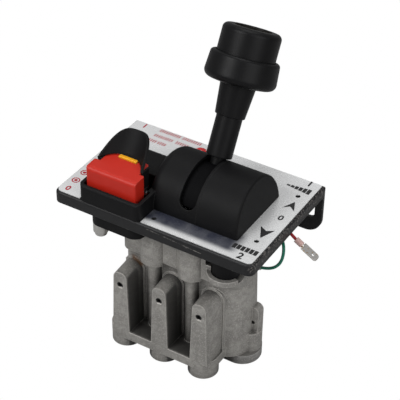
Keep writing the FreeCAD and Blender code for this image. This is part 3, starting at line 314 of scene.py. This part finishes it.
def paint_finish():
    """Black paint on sheet steel: streaks and chips show metal, and the right edge is dusty."""
    f = Finish("black_paint_worn")
    x, _, z = f.axes()
    base = f.mix(f.noise(160, 3.0), colour(0.007, 0.007, 0.008), colour(0.014, 0.014, 0.015))
    right_edge = f.step(x, 69.0 * MM, 72.2 * MM) * f.step(z, 111.0 * MM, 115.0 * MM)
    dust = f.step(f.noise(900, 4.0), 0.50, 0.68) * right_edge * 0.80
    base = f.mix(dust, base, colour(0.20, 0.185, 0.175))
    metal = f.edges(0.0010) * f.step(f.noise(620, 3.0), 0.56, 0.64)
    metal = metal * (0.35 + 0.65 * f.step(x, 66.0 * MM, 71.0 * MM))
    for start, end in lip_streaks:
        gap = f.distance_to_line(start, end) + f.noise(420, 4.0, 0.7) * 0.0022
        streak = f.step(gap, 0.0014, 0.0008)
        metal = f.node("ShaderNodeMath", {"operation": "MAXIMUM"}, {0: metal, 1: streak})
    base = f.mix(metal * (0.35 + 0.65 * f.noise(500, 2.0)), base, colour(0.46, 0.44, 0.41))
    normal = f.bump(f.noise(900, 2.0), 0.00006, f.rounded(0.0009))
    rough = 0.40 + 0.12 * f.noise(300)
    return f.finish(
        base_color=base, roughness=rough, metallic=metal * 0.8, normal=normal, specular_ior_level=0.30
    )


def moulded_finish(name, low, high, roughness, grain_depth, edge_shade, specular=0.28):
    """Moulded plastic with a fine grain and faintly paler edges."""
    f = Finish(name)
    base = f.mix(f.noise(120, 4.0), colour(*low), colour(*high))
    base = f.mix(f.edges(0.0009) * 0.5, base, colour(*edge_shade))
    rough = roughness + 0.10 * (f.noise(240, 3.0) - 0.5)
    normal = f.bump(f.noise(2600, 2.0), grain_depth, f.rounded(0.0009))
    return f.finish(base_color=base, roughness=rough, normal=normal, specular_ior_level=specular)


def metal_finish(name, shade, roughness, stretch=(1.0, 1.0, 1.0)):
    """Plain worked metal with fine tool marks along one axis."""
    f = Finish(name)
    marks = f.noise(1500, 2.0, 0.5, stretch)
    base = f.mix(f.noise(300, 3.0), colour(*shade), scaled(shade, 1.15))
    rough = roughness + 0.12 * (marks - 0.5)
    return f.finish(
        base_color=base, metallic=0.9, roughness=rough, normal=f.bump(marks, 0.00002, f.rounded(0.0004))
    )


def label_finish():
    """Pale metal label, with a painted reflection of the black dome: darker in front of the dome."""
    f = Finish("label_metal")
    marks = f.noise(700, 2.0, 0.5, (0.12, 1.0, 1.0))
    base = f.mix(f.noise(60, 3.0), colour(0.88, 0.885, 0.89), colour(0.94, 0.945, 0.95))
    x, y, _ = f.axes()
    painted_dome_reflection = f.within(x, painted_reflection_x) * f.within(y, painted_reflection_y)
    # Painted reflection: the black dome mirrored in the label, painted as a dark blue-grey
    base = f.mix(painted_dome_reflection * (0.70 + 0.5 * f.noise(70, 3.0)), base, colour(0.05, 0.055, 0.08))
    rough = 0.22 + 0.10 * f.noise(150, 3.0)
    return f.finish(base_color=base, metallic=0.45, roughness=rough, normal=f.bump(marks, 0.000003))


def print_finish(name, shade):
    f = Finish(name)
    base = f.mix(f.noise(900, 2.0), colour(*shade), scaled(shade, 1.2))
    return f.finish(base_color=base, roughness=0.5)


def cover_finish(name, shade):
    """Soft wire cover, a little uneven in sheen."""
    f = Finish(name)
    base = f.mix(f.noise(400, 2.0), scaled(shade, 0.8), colour(*shade))
    return f.finish(
        base_color=base, roughness=0.36 + 0.1 * f.noise(600), normal=f.bump(f.noise(1200), 0.00003)
    )


def terminal_finish():
    """Tinned brass, the brass showing through where it was crimped."""
    f = Finish("tinned_brass")
    bare = f.step(f.noise(450, 3.0), 0.56, 0.70)
    base = f.mix(bare, colour(0.70, 0.68, 0.65), colour(0.55, 0.38, 0.20))
    return f.finish(
        base_color=base, metallic=0.85, roughness=0.30 + 0.15 * f.noise(700), normal=f.rounded(0.0003)
    )


def sleeve_finish():
    """Milky soft sleeve that lets the wire's colour through."""
    f = Finish("milky_sleeve")
    base = f.mix(f.noise(500, 3.0), colour(0.62, 0.36, 0.33), colour(0.72, 0.52, 0.48))
    return f.finish(base_color=base, roughness=0.35, alpha=0.80)


def lens_finish():
    """Red lens with fine rings."""
    f = Finish("red_lens")
    _, _, z = f.axes()
    ring = f.node("ShaderNodeMath", {"operation": "SINE"}, {0: z * 9000.0})
    base = f.mix(f.noise(200), colour(0.50, 0.010, 0.012), colour(0.62, 0.016, 0.016))
    return f.finish(base_color=base, roughness=0.18, coat_weight=0.4, normal=f.bump(ring, 0.00002))


finishes = {
    "cast": cast_finish("sand_cast_aluminium", (0.365, 0.352, 0.33), 0.00015),
    "cover": cast_finish("machined_cast_aluminium", (0.40, 0.39, 0.375), 0.00006),
    "paint": paint_finish(),
    "moulding": moulded_finish(
        "black_moulding", (0.0035, 0.0035, 0.004), (0.0065, 0.0065, 0.007), 0.55, 0.00005,
        (0.028, 0.028, 0.028), 0.14,
    ),
    "knob": moulded_finish(
        "black_knob", (0.0045, 0.0045, 0.005), (0.007, 0.007, 0.0075), 0.40, 0.00003,
        (0.026, 0.026, 0.026), 0.15,
    ),
    # Painted shade: a darker, less glossy black for the drum in the dome's slot
    "drum": moulded_finish(
        "black_drum_painted_shade", (0.003, 0.003, 0.0035), (0.005, 0.005, 0.0055), 0.60, 0.00005,
        (0.008, 0.008, 0.008), 0.04,
    ),
    "paper": moulded_finish(
        "gasket_paper", (0.13, 0.125, 0.115), (0.17, 0.165, 0.155), 0.70, 0.00003, (0.20, 0.19, 0.18)
    ),
    "red": moulded_finish(
        "red_moulding", (0.46, 0.017, 0.008), (0.53, 0.022, 0.011), 0.40, 0.00003, (0.62, 0.07, 0.05)
    ),
    "yellow": moulded_finish(
        "yellow_moulding", (0.80, 0.36, 0.010), (0.88, 0.42, 0.015), 0.42, 0.00002, (0.95, 0.60, 0.10)
    ),
    "disc": moulded_finish(
        "cream_disc", (0.62, 0.50, 0.26), (0.72, 0.60, 0.34), 0.40, 0.00002, (0.80, 0.72, 0.50)
    ),
    "lamp": moulded_finish(
        "lamp_body_black", (0.010, 0.010, 0.010), (0.016, 0.016, 0.016), 0.55, 0.00004, (0.03, 0.03, 0.03)
    ),
    "seal": moulded_finish(
        "black_rubber", (0.008, 0.008, 0.008), (0.014, 0.014, 0.014), 0.70, 0.00003, (0.02, 0.02, 0.02)
    ),
    "label": label_finish(),
    "print_black": print_finish("print_black", (0.006, 0.006, 0.007)),
    "print_red": print_finish("print_red", (0.34, 0.006, 0.020)),
    "zinc": metal_finish("zinc_plated_steel", (0.55, 0.55, 0.53), 0.32),
    "steel": metal_finish("ground_steel", (0.52, 0.52, 0.52), 0.26, (0.05, 1.0, 1.0)),
    "spring": metal_finish("spring_steel", (0.36, 0.36, 0.36), 0.32),
    "brass": metal_finish("turned_brass", (0.60, 0.42, 0.18), 0.26, (1.0, 1.0, 6.0)),
    "bronze": metal_finish("sintered_bronze", (0.42, 0.27, 0.12), 0.46),
    "fitting": metal_finish("plated_fitting", (0.50, 0.49, 0.47), 0.36, (1.0, 1.0, 5.0)),
    "tinned": terminal_finish(),
    "sleeve": sleeve_finish(),
    "lens": lens_finish(),
    "red_cover": cover_finish("red_wire_cover", (0.42, 0.012, 0.020)),
    "green_cover": cover_finish("green_wire_cover", (0.006, 0.20, 0.12)),
}

# The finish that each of the record's material slots gets
slot_finishes = {
    "cast_body": "cast",
    "cast_cover": "cover",
    "gasket": "paper",
    "zinc_steel": "zinc",
    "black_moulding": "moulding",
    "black_knob": "knob",
    "pale_disc": "disc",
    "brass": "brass",
    "bronze": "bronze",
    "painted_plate": "paint",
    "label": "label",
    "steel_shaft": "steel",
    "spring_steel": "spring",
    "seal": "seal",
    "red_grip": "red",
    "yellow_catch": "yellow",
    "fitting": "fitting",
    "lamp_red": "lens",
    "lamp_black": "lamp",
    "red_cover": "red_cover",
    "green_cover": "green_cover",
    "tinned": "tinned",
    "clear_sleeve": "sleeve",
}

# A node that gets a darker, less glossy copy of its slot's black moulding: painted shade for the dome's
# slot it sits in
node_finishes = {"lever_drum": "drum"}


def dress_nodes():
    """Gives every node of the frame its own finish or that of its material slot."""
    for part in frame["record"]["subparts"]:
        finish = node_finishes.get(part["node"], slot_finishes[part["material_slot"]])
        materials = nodes[part["node"]].data.materials
        materials.clear()
        materials.append(finishes[finish])


def keep(piece, body):
    """Names the body that a new piece rides on."""
    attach(piece, body)
    return piece


def mesh_piece(name, shape, finish):
    """Object at the origin from a bmesh in metres."""
    data = bpy.data.meshes.new(name)
    shape.to_mesh(data)
    shape.free()
    data.materials.append(finishes[finish])
    piece = bpy.data.objects.new(name, data)
    bpy.context.scene.collection.objects.link(piece)
    return piece


# Lamp leads
wire_diameter = 2.1 * MM
red_way = (
    (-12.5, 75, 105), (9, 73.5, 104), (33, 70.5, 104.5), (57, 63, 107), (64.5, 40, 111), (76.6, 40, 103.8)
)
green_way = (
    (-12.5, 71.3, 102.5), (9, 68.5, 101), (32, 66, 101), (55, 59.5, 102.5), (65.5, 37.5, 106),
    (73.5, 27.5, 104.6), (71.8, 27.5, 91.6), (64, 27.8, 82.8), (55.6, 29.8, 79.6),
)


def wire(name, way, finish, node):
    data = bpy.data.curves.new(name, "CURVE")
    data.dimensions = "3D"
    data.bevel_depth = wire_diameter / 2
    data.bevel_resolution = 5
    data.use_fill_caps = True
    data.resolution_u = 16
    spline = data.splines.new("NURBS")
    spline.points.add(len(way) - 1)
    for point, place in zip(spline.points, way):
        point.co = (*metres(*place), 1.0)
    spline.order_u = 3
    spline.use_endpoint_u = True
    data.materials.append(finishes[finish])
    piece = bpy.data.objects.new(name, data)
    bpy.context.scene.collection.objects.link(piece)
    keep(piece, "base")
    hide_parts(node)
    tuple(metres(*way[0]))


# Closed shapes from places in metres; their normals are turned outwards once a piece is whole
def prism(shape, first, second):
    """Adds a closed prism between two like outlines."""
    near = [shape.verts.new(place) for place in first]
    far = [shape.verts.new(place) for place in second]
    shape.faces.new(near[::-1])
    shape.faces.new(far)
    for i in range(len(near)):
        j = (i + 1) % len(near)
        shape.faces.new((near[i], near[j], far[j], far[i]))


def closed_tube(shape, rims):
    """Adds a tube whose rims are joined in order, and the last to the first."""
    loops = [[shape.verts.new(place) for place in rim] for rim in rims]
    for k in range(len(loops)):
        following = loops[(k + 1) % len(loops)]
        for i in range(len(following)):
            j = (i + 1) % len(following)
            shape.faces.new((loops[k][i], loops[k][j], following[j], following[i]))


def circle(radius, corners):
    """Points round the origin of a plane."""
    turns = [math.tau * i / corners for i in range(corners)]
    return [(radius * math.cos(turn), radius * math.sin(turn)) for turn in turns]


# Marks on the label: plain arrows, numbers, rings and rows of bars
print_top = label_top + print_thickness
up_arrow = ((60.0, 47.6), (63.9, 51.3), (68.6, 47.9), (64.4, 57.3))
down_arrow = ((57.9, 23.3), (63.4, 12.3), (67.9, 23.6), (63.1, 20.5))
ring_places = ((-70.3, 11.0), (-70.3, 1.0))
ring_outer_r = 2.9
ring_inner_r = 2.088
ring_dot_r = 1.218
ring_corners = 28

# Each number's name, figure, place, size and finish
label_numbers = (
    ("raise_number", "1", 63.6, 79.8, 8.0, "print_black"),
    ("hold_number", "0", 64.6, 37.2, 7.0, "print_black"),
    ("lower_number", "2", 61.6, -9.9, 8.0, "print_black"),
    ("switch_on_number", "1", -66.7, 79.3, 6.5, "print_red"),
    ("switch_off_number", "0", -69.5, -9.0, 6.5, "print_red"),
)


def add_print(shape, points):
    """Adds a layer of ink on the label over an outline in millimetres."""
    prism(shape, [metres(x, y, label_top) for x, y in points], [metres(x, y, print_top) for x, y in points])


def add_arrows():
    shape = bmesh.new()
    for points in (up_arrow, down_arrow):
        add_print(shape, points)
    bmesh.ops.recalc_face_normals(shape, faces=shape.faces)
    keep(mesh_piece("label_arrows", shape, "print_black"), "base")


def add_rings():
    """Red rings with a dot, beside the small lever."""
    shape = bmesh.new()
    rim_sizes = (
        (ring_inner_r, label_top),
        (ring_outer_r, label_top),
        (ring_outer_r, print_top),
        (ring_inner_r, print_top),
    )
    for x, y in ring_places:
        add_print(shape, [(x + a, y + b) for a, b in circle(ring_dot_r, ring_corners)])
        rims = []
        for radius, z in rim_sizes:
            rims.append([metres(x + a, y + b, z) for a, b in circle(radius, ring_corners)])
        closed_tube(shape, rims)
    bmesh.ops.recalc_face_normals(shape, faces=shape.faces)
    keep(mesh_piece("label_rings", shape, "print_red"), "base")


def evaluated_mesh(maker):
    """Plain mesh of an object as it is evaluated; the object itself is removed."""
    bpy.context.scene.collection.objects.link(maker)
    bpy.context.view_layer.update()
    data = bpy.data.meshes.new_from_object(maker.evaluated_get(bpy.context.evaluated_depsgraph_get()))
    bpy.data.objects.remove(maker)
    return data


def add_number(name, figure, x, y, size, finish):
    text = bpy.data.curves.new(name, "FONT")
    text.body = figure
    text.size = size * MM
    text.extrude = print_thickness * MM / 2
    text.offset = 0.03 * size * MM
    text.align_x = "CENTER"
    text.align_y = "CENTER"
    data = evaluated_mesh(bpy.data.objects.new(name, text))
    data.transform(Matrix.Translation(metres(x, y, label_top + print_thickness / 2)))
    data.materials.clear()
    shape = bmesh.new()
    shape.from_mesh(data)
    bmesh.ops.remove_doubles(shape, verts=shape.verts, dist=1e-7)
    bmesh.ops.recalc_face_normals(shape, faces=shape.faces)
    keep(mesh_piece(name, shape, finish), "base")


def geometry_tree(name, inputs):
    """Empty geometry tree that takes the named inputs and a finish."""
    tree = bpy.data.node_groups.new(name, "GeometryNodeTree")
    tree.interface.new_socket("Geometry", in_out="OUTPUT", socket_type="NodeSocketGeometry")
    for label, kind in inputs:
        tree.interface.new_socket(label, in_out="INPUT", socket_type="NodeSocket" + kind)
    tree.interface.new_socket("Finish", in_out="INPUT", socket_type="NodeSocketMaterial")
    return tree


def tick_row_tree():
    """Geometry tree: a row of upright bars, each taller than the last by a share."""
    sizes = [(name, "Float") for name in ("Pitch", "Width", "Height", "Thickness", "Growth")]
    tree = geometry_tree("tick_row", [("Count", "Int")] + sizes)
    g = Graph(tree)
    count = g.node("NodeGroupInput", output="Count")
    step = g.node("ShaderNodeCombineXYZ", inputs={"X": count.also("Pitch")})
    row = g.node("GeometryNodeMeshLine", inputs={"Count": count, "Offset": step})
    size = g.node(
        "ShaderNodeCombineXYZ",
        inputs={"X": count.also("Width"), "Y": count.also("Height"), "Z": count.also("Thickness")},
    )
    bar = g.node("GeometryNodeMeshCube", inputs={"Size": size})
    tall = 1.0 + g.node("GeometryNodeInputIndex") * count.also("Growth")
    stretch = g.node("ShaderNodeCombineXYZ", inputs={"X": 1.0, "Y": tall, "Z": 1.0})
    placed = g.node(
        "GeometryNodeInstanceOnPoints", inputs={"Points": row, "Instance": bar, "Scale": stretch}
    )
    real = g.node("GeometryNodeRealizeInstances", inputs={"Geometry": placed})
    dressed = g.node(
        "GeometryNodeSetMaterial", inputs={"Geometry": real, "Material": count.also("Finish")}
    )
    g.node("NodeGroupOutput", inputs={"Geometry": dressed})
    return tree


def thread_tree():
    """Geometry tree: one turn of thread after another, as a closed ridge on a spiral."""
    tree = geometry_tree("thread", [(name, "Float") for name in ("Turns", "Radius", "Length", "Ridge")])
    g = Graph(tree)
    turns = g.node("NodeGroupInput", output="Turns")
    spiral = g.node(
        "GeometryNodeCurveSpiral",
        inputs={
            "Resolution": 40,
            "Rotations": turns,
            "Start Radius": turns.also("Radius"),
            "End Radius": turns.also("Radius"),
            "Height": turns.also("Length"),
        },
    )
    section = g.node(
        "GeometryNodeCurvePrimitiveCircle", inputs={"Resolution": 4, "Radius": turns.also("Ridge")}
    )
    ridge = g.node(
        "GeometryNodeCurveToMesh", inputs={"Curve": spiral, "Profile Curve": section, "Fill Caps": True}
    )
    dressed = g.node(
        "GeometryNodeSetMaterial", inputs={"Geometry": ridge, "Material": turns.also("Finish")}
    )
    g.node("NodeGroupOutput", inputs={"Geometry": dressed})
    return tree


def grown(tree, values):
    """Plain mesh made by a geometry tree whose inputs are given by name."""
    maker = bpy.data.objects.new("maker", bpy.data.meshes.new("maker"))
    modifier = maker.modifiers.new("grow", "NODES")
    modifier.node_group = tree
    for item in tree.interface.items_tree:
        if item.in_out == "INPUT":
            modifier[item.identifier] = values[item.name]
    return evaluated_mesh(maker)


def grown_piece(name, tree, finish, rows):
    """One piece from several runs of a tree, each with its values and its place in metres."""
    shape = bmesh.new()
    for values, place in rows:
        data = grown(tree, dict(values, Finish=finishes[finish]))
        data.transform(Matrix.Translation(place))
        shape.from_mesh(data)
        bpy.data.meshes.remove(data)
    bmesh.ops.remove_doubles(shape, verts=shape.verts, dist=1e-7)
    bmesh.ops.recalc_face_normals(shape, faces=shape.faces)
    return mesh_piece(name, shape, finish)


def tick_values(count, pitch, width, height, growth):
    return {
        "Count": count,
        "Pitch": pitch * MM,
        "Width": width * MM,
        "Height": height * MM,
        "Thickness": print_thickness * MM,
        "Growth": growth,
    }


# Each black row's count, pitch, width, height and growth, then its place
level_rows = (
    ((6, 3.0, 2.5, 1.6, 0.5), (52.0, 71.6)),
    ((6, 3.0, 2.5, 4.6, 0.0), (53.6, -2.6)),
)

# Each red row's count and place; its ticks are alike
red_tick_rows = (
    (10, (-54.0, 80.6)),
    (9, (-35.5, 80.6)),
    (9, (-54.5, 73.8)),
    (6, (-37.0, 73.8)),
    (4, (-55.0, 67.0)),
    (4, (-47.5, 67.0)),
)
red_tick_sizes = (1.7, 0.75, 3.1, 0.0)


def add_label_rows():
    tree = tick_row_tree()
    level = label_top + print_thickness / 2
    black_rows = [(tick_values(*sizes), metres(x, y, level)) for sizes, (x, y) in level_rows]
    keep(grown_piece("label_level_bars", tree, "print_black", black_rows), "base")
    red_rows = [
        (tick_values(count, *red_tick_sizes), metres(x, y, level)) for count, (x, y) in red_tick_rows
    ]
    keep(grown_piece("label_tick_rows", tree, "print_red", red_rows), "base")


# Thread ridge in each port, in millimetres
thread_turns = 7.0
thread_ridge = 0.45
thread_start = 1.0
thread_length = port_bore_depth - 2.6
thread_r = port_bore_r - 0.05


def add_port_threads():
    values = {
        "Turns": thread_turns,
        "Radius": thread_r * MM,
        "Length": thread_length * MM,
        "Ridge": thread_ridge * MM,
    }
    rows = [(values, metres(x, 0, thread_start)) for x in port_places]
    keep(grown_piece("port_threads", thread_tree(), "cast", rows), "base")


# Small lever: a hub and two arms beside the grip carry a bowed hood with a rounded rim
switch_y = 5.0
switch_z = 127.0
hub_r = 4.2
hub_corners = 40
hub_span_x = (-53.0, -17.2)
pin_bore_r = 2.04
arm_spans_x = ((-52.4, -49.2), (-18.8, -17.6))
arm_foot_z = switch_z + 3.0
arm_top_z = 144.9
arm_outline = ((1.8, arm_foot_z), (8.2, arm_foot_z), (9.4, arm_top_z), (1.8, arm_top_z))
hood_x = -35.0
hood_half_width = 17.55
hood_bow_r = 20.13
hood_reach = 17.8
hood_foot_y = 14.24
hood_foot_z = 144.33
hood_lean = math.radians(52.8)
hood_thickness = 1.8
hood_roundness = 3.37
hood_sink = 0.15
hood_columns = 56
hood_rows = 14
smooth_below = math.radians(35)


def hood_place(turn, radius, up):
    """Place on the bowed sheet: an angle across it, the radius of its face and the way up it."""
    out = hood_bow_r - radius * math.cos(turn)
    return metres(
        hood_x + radius * math.sin(turn),
        hood_foot_y + up * math.cos(hood_lean) - out * math.sin(hood_lean),
        hood_foot_z + up * math.sin(hood_lean) + out * math.cos(hood_lean),
    )


def hood(shape):
    """Adds the bowed sheet: it stands on the arms' top and its sides reach forward along it."""
    foot_level = arm_top_z - hood_sink - hood_foot_z
    inner_r = hood_bow_r - hood_thickness
    grid = []
    for i in range(hood_columns + 1):
        side = -math.cos(math.pi * i / hood_columns)
        turn = math.asin(side * hood_half_width / hood_bow_r)
        bow = hood_bow_r * (1 - math.cos(turn))
        foot = (foot_level - math.cos(hood_lean) * bow) / math.sin(hood_lean)
        fall = abs(side) ** hood_roundness
        head = foot * fall + hood_reach * (1 - fall)
        ups = [foot + (head - foot) * j / hood_rows for j in range(hood_rows + 1)]
        front = [shape.verts.new(hood_place(turn, hood_bow_r, up)) for up in ups]
        back = [shape.verts.new(hood_place(turn, inner_r, up)) for up in reversed(ups)]
        grid.append(front + back)
    for first, second in zip(grid, grid[1:]):
        for j in range(len(first)):
            k = (j + 1) % len(first)
            shape.faces.new((first[j], first[k], second[k], second[j]))


def add_small_lever():
    shape = bmesh.new()
    start, end = hub_span_x
    hub_rims = []
    for radius, x in ((pin_bore_r, start), (hub_r, start), (hub_r, end), (pin_bore_r, end)):
        hub_rims.append([metres(x, switch_y + a, switch_z + b) for a, b in circle(radius, hub_corners)])
    closed_tube(shape, hub_rims)
    for x0, x1 in arm_spans_x:
        prism(shape, [metres(x0, y, z) for y, z in arm_outline], [metres(x1, y, z) for y, z in arm_outline])
    hood(shape)
    bmesh.ops.remove_doubles(shape, verts=shape.verts, dist=1e-7)
    bmesh.ops.dissolve_degenerate(shape, edges=shape.edges, dist=1e-7)
    bmesh.ops.recalc_face_normals(shape, faces=shape.faces)
    for face in shape.faces:
        face.smooth = True
    for edge in shape.edges:
        edge.smooth = edge.calc_face_angle(0.0) < smooth_below
    piece = keep(mesh_piece("small_lever", shape, "moulding"), "switch")
    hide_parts("switch_lever")


# Floor, light and background, in metres
floor_half = 6.0
floor_z = -0.0003
ambient = 0.30
light_aim = metres(0, 20, 90)

# Each lamp's name, place, size and power
lamps = (
    ("key", metres(-450, -900, 1000), 0.7, 9.5),
    ("fill", metres(900, -350, 700), 0.9, 4.5),
    ("top", metres(-100, 300, 1200), 0.9, 4.5),
)


def add_stage():
    shape = bmesh.new()
    signs = ((-1, -1), (1, -1), (1, 1), (-1, 1))
    shape.faces.new([shape.verts.new((a * floor_half, b * floor_half, floor_z)) for a, b in signs])
    data = bpy.data.meshes.new("floor")
    shape.to_mesh(data)
    shape.free()
    floor = bpy.data.objects.new("floor", data)
    bpy.context.scene.collection.objects.link(floor)
    f = Finish("white_floor")
    f.finish(base_color=colour(0.45, 0.45, 0.45), roughness=0.9)
    rays = f.node("ShaderNodeLightPath", output="Is Camera Ray")
    seen = rays + rays.also("Is Transmission Ray")
    glow = f.node("ShaderNodeEmission", inputs={"Color": colour(1, 1, 1), "Strength": 1.0})
    both = f.node("ShaderNodeMixShader", inputs={0: seen})
    f.tree.links.new(f.shader.outputs[0], both.socket.node.inputs[1])
    f.tree.links.new(glow.socket, both.socket.node.inputs[2])
    output = next(n for n in f.tree.nodes if n.type == "OUTPUT_MATERIAL")
    f.tree.links.new(both.socket, output.inputs["Surface"])
    floor.data.materials.append(f.material)


def add_light(name, place, size, power):
    data = bpy.data.lights.new(name, "AREA")
    data.shape = "DISK"
    data.size = size
    data.energy = power
    lamp = bpy.data.objects.new(name, data)
    bpy.context.scene.collection.objects.link(lamp)
    turn = (light_aim - place).to_track_quat("-Z", "Y").to_matrix().to_4x4()
    lamp.matrix_world = Matrix.Translation(place) @ turn


def add_world():
    world = bpy.data.worlds.new("studio")
    world.use_nodes = True
    bpy.context.scene.world = world
    g = Graph(world.node_tree)
    rays = g.node("ShaderNodeLightPath", output="Is Camera Ray")
    seen = g.node(
        "ShaderNodeMath",
        {"operation": "ADD", "use_clamp": True},
        {0: rays, 1: rays.also("Is Transmission Ray")},
    )
    strength = ambient + seen * (1.0 - ambient)
    background = world.node_tree.nodes["Background"]
    background.inputs["Color"].default_value = colour(1, 1, 1)
    world.node_tree.links.new(strength.socket, background.inputs["Strength"])


add_camera()
dress_nodes()
wire("red_lead", red_way, "red_cover", "red_wire")
wire("green_lead", green_way, "green_cover", "green_wire")
add_arrows()
add_rings()
for number in label_numbers:
    add_number(*number)
add_label_rows()
add_port_threads()
add_small_lever()
add_stage()
add_world()
for lamp in lamps:
    add_light(*lamp)

bpy.context.scene.view_settings.view_transform = "Standard"
